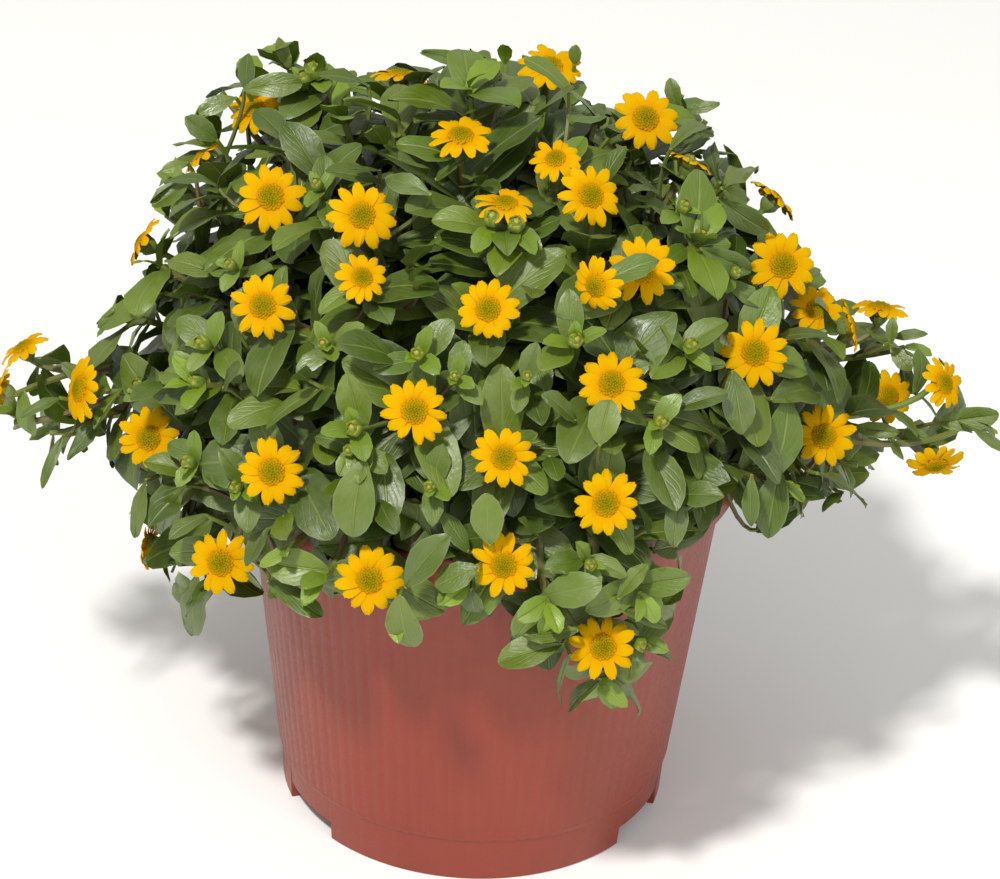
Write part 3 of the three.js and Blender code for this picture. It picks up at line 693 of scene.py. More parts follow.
def leaf_frames(at, stem, long, open_angle, size, rounds, seed):
    """One leaf on a stem for each angle round it: its rib's direction opens away from the stem's, its face
    turns between the stem and the light, and its length, bend, fold and width are drawn."""
    draw = draws(seed)
    across = unit(np.cross(stem, up if abs(stem[2]) < 0.9 else np.array([1.0, 0, 0])))
    other = np.cross(stem, across)
    tilt = math.radians(open_angle + (draw() - 0.5) * 18)
    aside = np.cos(rounds)[:, None] * across + np.sin(rounds)[:, None] * other
    along = stem * math.cos(tilt) + math.sin(tilt) * aside
    along[:, 2] += 0.1
    along = unit(along)
    face = stem * 0.65 + up * 0.6
    face = unit(face - along * (along @ face)[:, None])
    count = len(rounds)
    return {
        "base": at - along * root_sunk,
        "along": along,
        "face": face,
        "across": np.cross(face, along),
        "long": np.full(count, long * size * (0.84 + 0.3 * draw())),
        "bend": np.full(count, math.radians(16 + 34 * draw())),
        "fold": np.full(count, 0.1 + 0.25 * draw()),
        "wide": np.full(count, leaf_wide * (0.85 + 0.3 * draw())),
    }


def blade_points(leaf, t, s):
    """Points of each leaf at t along the rib and s across it: the rib bends in an arc, the half width is
    the sine of the stretched length, and the edges rise by the fold."""
    t, s = np.broadcast_arrays(np.asarray(t, float), np.asarray(s, float))
    one = (slice(None),) + (None,) * t.ndim
    long, bend, fold, wide = (leaf[key][one] for key in ("long", "bend", "fold", "wide"))
    one += (slice(None),)
    base, along, face, across = (leaf[key][one] for key in ("base", "along", "face", "across"))
    arc, a = long / bend, bend * t
    half = long * wide * np.sin(np.pi * np.clip(t, 0, 1) ** 0.85) ** 0.8
    normal = face * np.cos(a)[..., None] + along * np.sin(a)[..., None]
    return (
        base
        + along * (arc * np.sin(a))[..., None]
        - face * (arc * (1 - np.cos(a)))[..., None]
        + across * (s * half)[..., None]
        + normal * (np.abs(s) * half * fold)[..., None]
    )


def pick(leaf, i):
    return {key: value[i : i + 1] for key, value in leaf.items()}


drum_radius, drum_over, drum_under = 9.1, 2.4, 2.1
drum_t, drum_s = np.meshgrid(np.linspace(0.04, 1, 11), np.linspace(-0.9, 0.9, 7))


class Growth:
    """The leaves grown so far, with the points that later leaves keep clear of."""

    def __init__(self):
        self.leaves = []
        self.taken = np.zeros((0, 3))

    def grow(self, share, frames, clear, young=0.0, low=0.0, fills=False):
        """Adds the first of the leaf's swings that is clear of the pot, blooms and leaves, and inside its
        main stem's share or, where it fills the gaps between the shares, inside the mound's outline."""
        points = blade_points(frames, probe_t, probe_s)
        inside = in_outline(points) if fills else within(points, share) > share_margin
        good = inside.all(1) & clear_of_pot(points).all(1)
        good &= clear_of_blooms(points, blooms).all(1)
        near = self.taken[np.abs(self.taken - frames["base"][0]).max(1) < 2 * frames["long"][0] + clear]
        for i in np.flatnonzero(good):
            gaps = np.linalg.norm(points[i][:, None] - near, axis=-1)
            if gaps.size and gaps.min() < clear:
                continue
            one = pick(frames, i)
            body = blade_points(one, drum_t, drum_s)[0].reshape(-1, 3)
            if not clear_of_blooms(body, blooms, drum_radius, drum_over, drum_under).all():
                continue
            self.taken = np.concatenate([self.taken, points[i]])
            # low is the share of painted shade that darkens this leaf's colour.
            self.leaves.append({**one, "share": share, "young": young, "low": low})
            return True
        return False

    def grow_pair(self, share, at, stem, long, open_angle, size, spin, seed, clear, **kind):
        """Grows the two leaves that face each other across a stem, and returns how many found room."""
        grown = 0
        for half in (0, 1):
            rounds = spin + half * math.pi + swing_round
            frames = leaf_frames(at, stem, long, open_angle, size, rounds, seed + half)
            grown += self.grow(share, frames, clear, **kind)
        return grown


growth = Growth()
leaf_youth = (0.35, 0.1, 0, 0)
for pair, (distance, long, open_angle) in enumerate(leaf_pairs):
    for number, tip in enumerate(tips):
        at, stem = back_from(tip["path"], distance * tip["size"])
        if np.linalg.norm(at - middle) < core_radius - core_skin:
            continue
        share, size, young = tip["share"], tip["size"], leaf_youth[pair]
        spin, seed = tip["spin"] + pair % 2 * math.pi / 2, number * 40 + pair * 10 + 3
        growth.grow_pair(share, at, stem, long, open_angle, size, spin, seed, clear_of_leaf, young=young)
# The leaves on the core's skin carry painted shade that darkens them.
for i in range(low_leaf_spots):
    way, draw = spot_on_ball(i, low_leaf_spots, low_leaf_share)
    at = middle + way * (core_radius - core_skin)
    turn = 2 * math.pi * draw() + swing_round
    frames = leaf_frames(at, way, low_leaf_long, low_leaf_open, 1, turn, i + low_leaf_seed)
    growth.grow(share_of(at), frames, clear_of_leaf, low=0.6)

# The few of these leaves and shoots that would hang past the mound's outline in the photograph are left off.
least_inside = 7


def is_shown(leaf):
    return in_outline(blade_points(leaf, probe_t, probe_s)).sum() >= least_inside


growth.leaves = [leaf for leaf in growth.leaves if is_shown(leaf)]
growth.taken = np.concatenate([blade_points(leaf, probe_t, probe_s)[0] for leaf in growth.leaves])
tips = [tip for tip in tips if tip["kind"] == "bloom" or in_outline(tip["point"][None])[0]]


# Leaves that stand out in the photograph: pixels across and down of the root and of the tip, the blade's
# width in pixels and, where it matters, how far off the mound it is tried first. Each grows on its own twig.
seen_leaves = [
    (63, 433, 41, 487, 14), (105, 411, 68, 458, 21), (146, 477, 135, 537, 19), (185, 483, 163, 534, 28),
    (198, 571, 193, 634, 32), (179, 562, 142, 558, 13), (165, 290, 97, 326, 24), (187, 182, 152, 204, 27),
    (187, 160, 162, 168, 13), (217, 137, 185, 114, 25), (236, 95, 198, 110, 21, -4),
    (247, 88, 249, 50, 25, -5), (244, 87, 303, 80, 27, -4), (291, 66, 278, 34, 16, -2),
    (678, 106, 670, 75, 18), (683, 110, 720, 101, 14), (671, 145, 711, 124, 20), (720, 179, 711, 139, 17),
    (725, 187, 755, 165, 27), (722, 185, 748, 199, 20), (938, 420, 1000, 412, 27), (818, 470, 867, 504, 27),
    (843, 490, 822, 509, 13), (780, 464, 768, 536, 36), (752, 472, 751, 524, 19), (619, 594, 649, 559, 20),
    (617, 605, 668, 624, 18), (636, 638, 673, 657, 21, 0), (610, 675, 639, 712, 22),
    (600, 676, 568, 707, 22), (570, 652, 561, 702, 15), (562, 641, 497, 660, 36), (577, 627, 522, 633, 25),
    (400, 592, 412, 645, 40), (472, 586, 475, 609, 28), (478, 563, 435, 583, 31), (406, 583, 450, 530, 35),
    (268, 578, 323, 614, 26), (365, 455, 353, 535, 46), (490, 540, 487, 488, 34), (600, 440, 610, 395, 34),
    (430, 190, 385, 175, 24), (500, 75, 420, 48, 16), (575, 62, 576, 42, 15), (891, 335, 929, 331, 14),
    (891, 341, 893, 314, 14), (891, 345, 912, 368, 20), (772, 395, 818, 387, 38),
    (733, 368, 743, 431, 34, 3), (905, 428, 929, 438, 16), (887, 429, 904, 458, 10),
    (852, 425, 900, 430, 18), (718, 195, 770, 229, 30, 3), (702, 245, 752, 268, 26),
    (848, 330, 822, 300, 20), (60, 395, 20, 415, 16), (95, 385, 60, 360, 18),
]
picture_scale, to_camera = 4.0, np.array([0, -0.857, 0.515])
seen_face = unit(np.array([-0.25, -0.65, 0.7]))
seen_steps, seen_clear = (2, 4, 6, 0, 8, 10, -2), 1.1


def leaf_between(base, end, wide, bend, fold, turned):
    """A leaf from its root to its tip in space, with its face turned to the light as far as it can be."""
    chord, long = unit(end - base), np.linalg.norm(end - base)
    face = seen_face + turned
    face = unit(face - chord * (face @ chord))
    along = chord * math.cos(bend / 2) + face * math.sin(bend / 2)
    face = face * math.cos(bend / 2) - chord * math.sin(bend / 2)
    leaf = {"base": base, "along": along, "face": face, "across": np.cross(face, along), "long": long}
    leaf.update({"bend": bend, "fold": fold, "wide": wide / 2 / long})
    return {key: np.array([value]) for key, value in leaf.items()}


def room_of(leaf, points):
    """The gap to the leaves grown before, or nothing for a leaf that meets a bloom or the pot."""
    body = blade_points(leaf, drum_t, drum_s)[0].reshape(-1, 3)
    free = clear_of_blooms(body, blooms, drum_radius, drum_over, drum_under).all()
    free &= clear_of_pot(points).all()
    return np.linalg.norm(points[:, None] - growth.taken, axis=-1).min() * free


twigs = []
for number, (root_across, root_down, tip_across, tip_down, width, *first) in enumerate(seen_leaves):
    draw = draws(number + seen_leaf_seed)
    bend, turned = 0.35 + 0.4 * draw(), np.array([draw() - 0.5, draw() - 0.5, draw() - 0.5]) * 0.5
    fold, young = 0.12 + 0.25 * draw(), 0.25 * draw()
    best_gap = -1
    for nearer in (*first, *seen_steps):
        base, end = seen(root_across, root_down, nearer), seen(tip_across, tip_down, nearer + 1)
        leaf = leaf_between(base, end, width / picture_scale, bend, fold, turned)
        points = blade_points(leaf, probe_t, probe_s)[0]
        gap = room_of(leaf, points)
        if gap > best_gap:
            best, best_gap, best_points = leaf, gap, points
        if gap > seen_clear:
            break
    at = best["base"][0]
    share = share_of(at)
    growth.leaves.append({**best, "share": share, "young": young, "low": 0.0})
    growth.taken = np.concatenate([growth.taken, best_points])
    stem = unit(outward(at) + best["along"][0] * 0.3 + to_camera * 1.2)
    twigs.append({"at": at, "stem": stem, "share": share, "size": 1, "kind": "leaf"})


# Between the long leaves stand smaller ones: more pairs along the shoots, young rosettes at their ends, and
# tufts on short side twigs that fill the mound, larger outside and darkened inside by painted shade.
rosette_pairs = [(-0.5, 8, 26, 1.0), (1.2, 12, 40, 0.75)]
extra_pairs = [
    (5.5, 14, 42, 0.3), (11, 18, 54, 0.1), (18, 19, 52, 0.05), (23, 20, 60, 0.0), (31, 20, 56, 0.0),
    (37, 21, 58, 0.0), (43, 20, 60, 0.0),
]
rosette_clear, extra_clear = 1.2, 2.7
for pair, (distance, long, open_angle, young) in enumerate(rosette_pairs + extra_pairs):
    for number, tip in enumerate(tips):
        if pair < len(rosette_pairs) and tip["kind"] == "bloom":
            continue
        at, stem = back_from(tip["path"], distance * tip["size"])
        if np.linalg.norm(at - middle) < core_radius - 2 * core_skin:
            continue
        share, size = tip["share"], tip["size"]
        clear = rosette_clear if pair < len(rosette_pairs) else extra_clear
        spin, seed = tip["spin"] + (0.25 + pair % 2 / 2) * math.pi, rosette_seed + number * 40 + pair * 4
        growth.grow_pair(share, at, stem, long, open_angle, size, spin, seed, clear, young=young, fills=True)

# Buds that stand between the leaves: pixel across, pixel down and size. Each ends a twig of young leaves.
seen_buds = [
    (205, 340, 1.0), (143, 382, 0.9), (237, 483, 0.9), (190, 458, 0.9), (325, 340, 0.8), (355, 424, 1.1),
    (350, 446, 0.8), (418, 350, 0.9), (430, 482, 0.8), (492, 216, 1.1), (516, 222, 1.1), (575, 337, 1.0),
    (660, 418, 1.0), (690, 342, 1.0), (688, 160, 0.9), (683, 205, 0.9), (700, 232, 0.8), (527, 372, 0.7),
    (318, 182, 0.8), (232, 262, 0.8), (455, 372, 0.7), (735, 270, 0.8), (590, 560, 0.8), (640, 640, 0.9),
    (315, 72, 1.2), (306, 80, 1.0),
]
bud_pairs = [(1.2, 7, 28, 0.8), (3.0, 10, 46, 0.6), (6.5, 14, 58, 0.25)]
for number, (across, down, size) in enumerate(seen_buds):
    at = seen(across, down, 1.5)
    stem = unit(outward(at) + np.array([0, -0.5, 0.2]))
    share = share_of(at)
    twigs.append({"at": at, "stem": stem, "share": share, "size": size, "kind": "bud"})
    growth.taken = np.concatenate([growth.taken, at[None] + stem * 1.5])
    for pair, (distance, long, opening, young) in enumerate(bud_pairs):
        root, spin = at - stem * distance, number + pair * math.pi / 2
        seed, clear = bud_seed + number * 20 + pair * 2, rosette_clear
        growth.grow_pair(share, root, stem, long, opening, size, spin, seed, clear, young=young, fills=True)

twig_layers = [(560, 0.88, 1.0, 1.0, 3.0), (640, 0.76, 0.9, 0.95, 2.8), (560, 0.66, 0.78, 0.95, 2.6)]
tuft_pairs = [(0.8, 13, 44), (4.5, 18, 58), (9.0, 20, 64)]
layer_shift, layer_share, twig_sway, over_lip, off_lip = 0.37, 1.5, 1.1, 8, 6
# Each layer further in carries more painted shade, which darkens its leaves.
for layer, (count, nearest, farthest, size, clear) in enumerate(twig_layers):
    for i in range(count):
        way, draw = spot_on_ball(i + layer_shift * layer, count, layer_share)
        out = (mound_back if way[1] > 0 else 1) / np.linalg.norm(way / mound)
        tip_at = middle + way * out * (nearest + (farthest - nearest) * draw())
        share = share_of(tip_at)
        if tip_at[2] < pot_height + over_lip and math.hypot(tip_at[0], tip_at[1]) < lip_radius + off_lip:
            continue
        sway = np.array([draw() - 0.5, draw() - 0.5, draw() - 0.3]) * twig_sway
        stem = unit(outward(tip_at) + sway)
        spin = 2 * math.pi * draw()
        ends = []
        for pair, (distance, long, open_angle) in enumerate(tuft_pairs):
            at = tip_at - stem * distance
            for half in (0, 1):
                round_stem = spin + pair * math.pi / 2 + half * math.pi
                seed = tuft_seed + layer * 7000 + i * 8 + pair * 2 + half
                frames = leaf_frames(at, stem, long, open_angle, size, round_stem + swing_round, seed)
                if growth.grow(share, frames, clear, young=0.2 * draw(), low=0.3 * layer, fills=True):
                    ends.append(at)
        if ends:
            twigs.append({"at": ends[0], "stem": stem, "share": share, "size": size, "kind": "leaf"})


def blade_cells(rows, columns):
    """Quads of a closed thin blade on a rows by columns grid: an upper and a lower sheet that share their
    rims, with the lower sheet's inner points counted after the upper sheet's."""
    top = np.arange(rows * columns).reshape(rows, columns)
    under = top.copy()
    under[1:-1, 1:-1] = rows * columns + np.arange((rows - 2) * (columns - 2)).reshape(rows - 2, columns - 2)
    cells = []
    for sheet, flip in ((top, False), (under, True)):
        quad = [sheet[:-1, :-1], sheet[1:, :-1], sheet[1:, 1:], sheet[:-1, 1:]]
        cells += np.stack(quad[::-1] if flip else quad, -1).reshape(-1, 4).tolist()
    return cells


inner = (slice(1, -1), slice(1, -1))


class Grid:
    """Rows from root to tip and columns from edge to edge, with the cells and the map of a closed blade."""

    def __init__(self, rows, columns):
        self.t = (0.5 - 0.5 * np.cos(np.pi * np.linspace(0, 1, rows)))[:, None] * np.ones(columns)
        self.s = np.linspace(-1, 1, columns) * np.ones((rows, 1))
        self.cells = blade_cells(rows, columns)
        self.numbers = np.repeat([0, 1], len(self.cells) // 2)
        spread = np.stack([(self.s + 1) / 2, self.t], -1)
        self.map = np.concatenate([spread.reshape(-1, 2), spread[inner].reshape(-1, 2)])


def closed_sheets(upper, lower, rim):
    """The points of blades whose two sheets meet along the rim: the upper sheet's, then the lower's inner."""
    for edge in (np.s_[:, 0], np.s_[:, -1], np.s_[:, :, 0], np.s_[:, :, -1]):
        upper[edge] = rim[edge]
    lower = lower[(slice(None),) + inner]
    return np.concatenate([sheet.reshape(len(rim), -1, 3) for sheet in (upper, lower)], 1)


def leaf_sheets(leaf, grid, draw_rng):
    """Every leaf's points on both sheets: blade_points with a blunt tip, a petiole at the root, a wave along
    the edges, a twist towards the tip, a tip that curls under, and a rib that thickens the underside."""
    count = len(leaf["long"])
    wave, phase, twist, curl, blunt = draw_rng.uniform(
        [0.005, 0, -0.4, -0.3, 0.46], [0.04, 6.28, 0.4, 1.1, 0.74], (count, 5)
    ).T[:, :, None, None]
    long, bend, fold, wide = (leaf[key][:, None, None] for key in ("long", "bend", "fold", "wide"))
    base, along, face, across = (leaf[key][:, None, None] for key in ("base", "along", "face", "across"))
    t, s = grid.t[None], grid.s[None]
    a = bend * t + curl * np.clip(t - 0.55, 0, 1) ** 2
    step = np.diff(grid.t[:, 0])[None, :, None] * long
    middle_a = (a[:, 1:, :1] + a[:, :-1, :1]) / 2
    start = np.zeros((count, 1, 1))
    ahead = np.concatenate([start, np.cumsum(step * np.cos(middle_a), 1)], 1)
    down = np.concatenate([start, np.cumsum(step * np.sin(middle_a), 1)], 1)
    half = long * wide * np.sin(np.pi * (0.02 + 0.977 * t)) ** blunt * (1 - 0.45 * (1 - t) ** 3)
    normal = face * np.cos(a)[..., None] + along * np.sin(a)[..., None]
    roll = twist * t
    sideways = across * np.cos(roll)[..., None] + normal * np.sin(roll)[..., None]
    normal = normal * np.cos(roll)[..., None] - across * np.sin(roll)[..., None]
    rise = np.abs(s) ** 1.3 * half * fold + long * wave * s**2 * np.sin(2 * np.pi * 1.6 * t + phase + s)
    rise = rise - 0.10 * half * s**4
    centre = base + along * ahead[..., None] - face * down[..., None] + sideways * (s * half)[..., None]
    thick = np.minimum(1, long / 16)
    upper = centre + normal * (rise + thick * (0.17 * (np.abs(s) > 0.3) - 0.02))[..., None]
    lower = centre + normal * (rise - thick * (0.17 + 0.28 * (np.abs(s) < 0.3) * (1 - 0.7 * t)))[..., None]
    rim = centre + normal * rise[..., None]
    return closed_sheets(upper, lower, rim)


def tubes(lines, radii, sides):
    """Rings of points round each line of points: both ways across are square to the line's direction."""
    ahead = unit(np.gradient(lines, axis=1))
    halfway = lines[:, lines.shape[1] // 2] - lines[:, 0] + [0.3, 0.2, 0.4]
    flat = unit(np.cross(lines[:, -1] - lines[:, 0], halfway))[:, None]
    one = unit(flat - ahead * (flat * ahead).sum(-1, keepdims=True))
    two = np.cross(ahead, one)
    angle = 2 * np.pi * np.arange(sides) / sides
    ring = one[:, :, None] * np.cos(angle)[:, None] + two[:, :, None] * np.sin(angle)[:, None]
    return lines[:, :, None] + ring * radii[..., None, None]


class Bunch:
    """Points, faces, material numbers, maps and states of one piece, gathered from its parts."""

    def __init__(self):
        self.points, self.faces, self.numbers, self.maps, self.states = [], [], [], [], []
        self.count = 0

    def add(self, points, cells, numbers, maps, states):
        """Adds copies: points is copies by points by 3, and the others are for one copy, for each of its
        faces or points, or for each copy."""
        copies, size = points.shape[:2]
        self.points.append(points.reshape(-1, 3))
        self.maps.append(np.broadcast_to(maps, (copies, size, 2)).reshape(-1, 2))
        self.states.append(np.broadcast_to(states, (copies, size, 3)).reshape(-1, 3))
        for copy in range(copies):
            start = self.count + copy * size
            self.faces += [[v + start for v in cell] for cell in cells]
        self.numbers.append(np.tile(np.broadcast_to(numbers, len(cells)), copies))
        self.count += copies * size

    def build(self, name, materials, crease=32):
        return build(
            name,
            np.concatenate(self.points),
            self.faces,
            np.concatenate(self.numbers),
            materials,
            np.concatenate(self.maps),
            np.concatenate(self.states),
            crease,
        )


def leaf_paint(name, upper):
    """Leaf green from the piece's state, which is tone, youth and painted shade: tone runs from blue-green to
    olive, young leaves are yellow-green, and painted shade darkens the colour. The rib is a thin pale line,
    and the nerves are shallow grooves that leave the rib at a slant. The underside is paler, and its nerves
    stand out."""
    material, shader, node, join = new_material(name, 0.5)
    place = node("TexCoord")["Object"]
    state = node("SeparateXYZ", Vector=node("Attribute", {"attribute_name": "state"})["Vector"])
    maps = node("SeparateXYZ", Vector=node("UVMap", {"uv_map": "across_along"})["UV"])

    patch = node("TexNoise", Vector=place, Scale=120.0, Detail=4.0, Roughness=0.6)["Fac"]
    fine = node("TexNoise", Vector=place, Scale=1300.0, Detail=3.0)["Fac"]
    tone = maths(node, "MULTIPLY", maths(node, "MULTIPLY_ADD", patch, 0.7, state["X"]), 0.6)
    dark, plain, olive = (0.030, 0.058, 0.005), (0.058, 0.096, 0.006), (0.118, 0.160, 0.008)
    green = ramp(node, tone, (0.12, dark), (0.5, plain), (0.90, olive))
    aged = blend(node, state["Y"], green, (0.165, 0.265, 0.007))
    aside = maths(node, "ABSOLUTE", maths(node, "SUBTRACT", maps["X"], 0.5))
    rib = between(node, aside, 0.010, 0.045, 1.0, 0.0)
    slant = maths(node, "MULTIPLY_ADD", aside, -1.3, maps["Y"])
    slant = maths(node, "MULTIPLY_ADD", patch, 0.12, slant)
    nerve = between(node, maths(node, "COSINE", maths(node, "MULTIPLY", slant, 34.0)), 0.55, 1.0, 0.0, 1.0)
    nerve = maths(node, "MULTIPLY", nerve, between(node, aside, 0.30, 0.45, 1.0, 0.0))
    veins = maths(node, "MAXIMUM", rib, maths(node, "MULTIPLY", nerve, 0.22))
    veined = blend(node, maths(node, "MULTIPLY", veins, 0.42 if upper else 0.6), aged, (0.200, 0.260, 0.040))
    edged = blend(node, between(node, aside, 0.44, 0.5, 0.0, 0.4), veined, (0.190, 0.230, 0.080))
    # Pale patches from noise: a waxy bloom with painted sheen on it, paler on the underside.
    wax_and_sheen = (0.160, 0.200, 0.085) if upper else (0.210, 0.250, 0.100)
    wax_and_sheen_patched = blend(node, between(node, patch, 0.45, 0.68, 0.0, 0.25), edged, wax_and_sheen)
    # Painted shade: the state's third number multiplies the colour by a dim yellow-green tint, darkening the
    # leaves inside and low in the mound.
    painted_shade_tint = (0.88, 0.98, 0.55, 1)
    shade = node("MixRGB", {"blend_type": "MULTIPLY"}, Fac=state["Z"], Color1=wax_and_sheen_patched, Color2=painted_shade_tint)
    join(shade["Color"], "Base Color")
    join(between(node, patch, 0.35, 0.65, 0.36 if upper else 0.5, 0.54 if upper else 0.7), "Roughness")
    quilt = maths(node, "MULTIPLY_ADD", patch, 2.4, maths(node, "MULTIPLY", fine, 0.35))
    join(bump(node, 0.5, 0.0004, maths(node, "MULTIPLY_ADD", veins, -1.0 if upper else 1.0, quilt)), "Normal")
    shader.inputs["Specular IOR Level"].default_value = 0.7 if upper else 0.35
    return material


leaf_upper = leaf_paint("leaf_upper_face", True)
leaf_under = leaf_paint("leaf_under_face", False)

# Stems and buds: the stems are green and blush red-brown in the sun, with fine ribs along them, and the buds
# are yellow-green with golden tips.
stem_skin, shader, node, join = new_material("stem_skin", 0.5)
place = node("TexCoord")["Object"]
state = node("SeparateXYZ", Vector=node("Attribute", {"attribute_name": "state"})["Vector"])
blush = node("TexNoise", Vector=place, Scale=60.0, Detail=2.0)["Fac"]
blushed = maths(node, "MULTIPLY_ADD", blush, 0.6, state["X"])
skin = ramp(node, blushed, (0.35, (0.120, 0.160, 0.035)), (1.0, (0.110, 0.050, 0.035)))
skin = blend(node, state["Y"], skin, (0.170, 0.250, 0.012))
join(blend(node, state["Z"], skin, (0.620, 0.400, 0.015)), "Base Color")
rib_place = node("Mapping", Vector=place, Scale=(1.0, 1.0, 0.1))["Vector"]
ribs = node("TexNoise", Vector=rib_place, Scale=2500.0)["Fac"]
join(bump(node, 0.3, 0.0002, ribs), "Normal")

# Shaded growth: older leaves inside the mound, which lie over each other round the inner twigs. They get
# little light, their colour is darkened further with painted shade, and they close the gaps between the
# leaves outside.
inner_count, inner_near, inner_far = 1500, 47.0, 65.0
inner_rng = np.random.default_rng(8)
inner_z = 1 - 1.32 * (np.arange(inner_count) + 0.5) / inner_count
inner_turn = np.radians(golden_turn) * np.arange(inner_count)
inner_way = np.stack([np.sin(inner_turn), -np.cos(inner_turn), 0 * inner_turn], -1)
inner_way = inner_way * np.sqrt(1 - inner_z**2)[:, None] + up * inner_z[:, None]
inner_base = middle + inner_way * inner_rng.uniform(inner_near, inner_far, (inner_count, 1))
inner_face = unit(inner_way + inner_rng.normal(0, 0.4, (inner_count, 3)))
inner_along = unit(np.cross(inner_face, inner_rng.normal(size=(inner_count, 3))))
inner_leaf = {
    "base": inner_base,
    "along": inner_along,
    "face": inner_face,
    "across": np.cross(inner_face, inner_along),
    "long": inner_rng.uniform(17, 26, inner_count),
    "bend": inner_rng.uniform(0.3, 0.9, inner_count),
    "fold": inner_rng.uniform(0.1, 0.3, inner_count),
    "wide": inner_rng.uniform(0.24, 0.31, inner_count),
}
inner_points = blade_points(inner_leaf, probe_t, probe_s)
inner_flat = np.hypot(inner_points[..., 0], inner_points[..., 1])
in_pot = (inner_points[..., 2] > soil_top + 1) & (inner_flat < wall_at(soil_top) - wall_thick - 2)
inner_clear = (clear_of_pot(inner_points) | in_pot).all(1) & clear_of_blooms(inner_points, blooms).all(1)
inner_share = np.array([share_of(point) for point in inner_base])

# Cups and buds: a cup is a bell of green bracts under a bloom, and a bud is a ridged globe in its bracts.
cup_bell = [
    (0.3, -5.2), (0.75, -5.0), (1.0, -4.3), (1.8, -3.5), (2.6, -2.4), (2.75, -1.5), (2.2, -1.2), (0.3, -1.2),
]
bud_globe = [
    (0.3, -1.5), (1.3, -1.2), (1.75, -0.2), (1.95, 0.9), (1.8, 1.9), (1.3, 2.6), (0.8, 2.9), (0.3, 3.0),
]
bell_sides = 10


def stand_of(face, spin):
    """The turn that takes +Z to the face, after a spin about +Z."""
    turned = Matrix.Rotation(spin, 3, "Z")
    return np.array(Vector(up).rotation_difference(Vector(face)).to_matrix() @ turned)


def bracts(count, radius, height, long, lean, bend, wide):
    """Small blades in a ring round the axis, which lean out from upright and face outwards."""
    angle = 2 * np.pi * np.arange(count) / count
    out = np.stack([np.cos(angle), np.sin(angle), 0 * angle], -1)
    along = out * math.sin(lean) + up * math.cos(lean)
    face = out * math.cos(lean) - up * math.sin(lean)
    return {
        "base": out * radius + up * height,
        "along": along,
        "face": face,
        "across": np.cross(face, along),
        "long": np.full(count, float(long)),
        "bend": np.full(count, bend),
        "fold": np.full(count, -0.35),
        "wide": np.full(count, wide),
    }


def set_at(leaf, size, stand, point):
    """The same blades scaled, turned and moved from the axis to a place."""
    moved = {key: leaf[key] @ stand.T for key in ("along", "face", "across")}
    return {**leaf, **moved, "base": leaf["base"] * size @ stand.T + point, "long": leaf["long"] * size}


cup_bracts = bracts(8, 1.2, -4.2, 4.6, 0.62, 0.5, 0.27)
bud_bracts = bracts(6, 1.0, -1.3, 5.2, 0.62, 1.35, 0.26)


def pieces_together(leaves, keys=("base", "along", "face", "across", "long", "bend", "fold", "wide")):
    return {key: np.concatenate([leaf[key] for leaf in leaves]) for key in keys}


def states_of(count, tone, youth, shade):
    """The state of each leaf: a drawn tone, and the youth and painted shade given."""
    state = [foliage_rng.uniform(*tone, count), np.ones(count) * youth, np.ones(count) * shade]
    return np.stack(state, -1)[:, None]


def add_leaves(bunch, leaf, grid, tone, youth, shade):
    sheets = leaf_sheets(leaf, grid, foliage_rng)
    bunch.add(sheets, grid.cells, grid.numbers, grid.map, states_of(len(sheets), tone, youth, shade))


def add_tubes(bunch, lines, thick, thin, sides, tone, youth):
    """Stems along lines of points, tapered from one radius to the other, and greener at the end by youth."""
    count, rows = lines.shape[:2]
    t = np.linspace(0, 1, rows)
    rings = tubes(lines, (thick + (thin - thick) * t) * np.ones((count, 1)), sides)
    cells = [face[::-1] for face in ring_faces(rows, sides)]
    spread = np.stack([np.tile(np.arange(sides) / sides, rows), np.repeat(t, sides)], -1)
    state = np.zeros((count, rows * sides, 3))
    state[..., 0] = foliage_rng.uniform(*tone, (count, 1))
    state[..., 1] = youth * np.repeat(t, sides) ** 3
    bunch.add(rings.reshape(count, -1, 3), cells, 2, spread, state)


def add_spun(bunch, profile, ripple, places, tone, youth, gold):
    """Spun shapes at places of size, turn and point. The top two rings are golden by the share given."""
    local = spun(profile, bell_sides, ripple)
    cells = ring_faces(len(profile), bell_sides)
    points = np.array([local * size @ stand.T + point for size, stand, point in places])
    state = np.zeros((len(places), len(local), 3))
    state[..., 0] = foliage_rng.uniform(*tone, (len(places), 1))
    state[..., 1] = youth
    state[:, -3 * bell_sides :, 2] = gold
    bunch.add(points, cells, 2, 0, state)


large_blade, small_blade, shade_blade = Grid(9, 5), Grid(6, 5), Grid(5, 3)
small_long = 12.5
shoot_rows, shoot_sides, stem_sides, twig_sides = 12, 6, 8, 5
shoot_radii, stem_radii, branch_radii, twig_radii = (1.15, 0.8), (1.8, 2.2), (1.7, 1.1), (0.7, 0.5)
stem_rise, root_depth, branch_bow = 6.0, 22, 0.55
joint_choices, twig_rows, twig_reach, twig_bow = 24, 7, 16, 9
sight_guard, twig_guard = (8, 60, 0), (8, 12, 2)
sighted_blooms = [{**tip, "face": to_camera} for tip in blooms]


def twig_lines(twigs, joints):
    """A curve of three corners for each twig, from a joint on a shoot to its end: of the nearest joints, the
    one whose curve has most points clear of the blooms and of the sight of them."""
    ends = np.array([twig["at"] for twig in twigs])
    stems = np.array([twig["stem"] for twig in twigs])
    far = np.linalg.norm(joints[None] - (ends - stems * twig_reach)[:, None], axis=-1)
    starts = joints[far.argsort(1)[:, :joint_choices]][:, :, None]
    bow = (ends - stems * twig_bow)[:, None, None]
    t = np.linspace(0, 1, twig_rows)[:, None]
    curve = (1 - t) ** 2 * starts + 2 * t * (1 - t) * bow + t**2 * ends[:, None, None]
    clear = clear_of_blooms(curve, sighted_blooms, *sight_guard).sum(-1)
    clear += clear_of_blooms(curve, blooms, *twig_guard).sum(-1)
    return curve[np.arange(len(ends)), clear.argmax(1)]


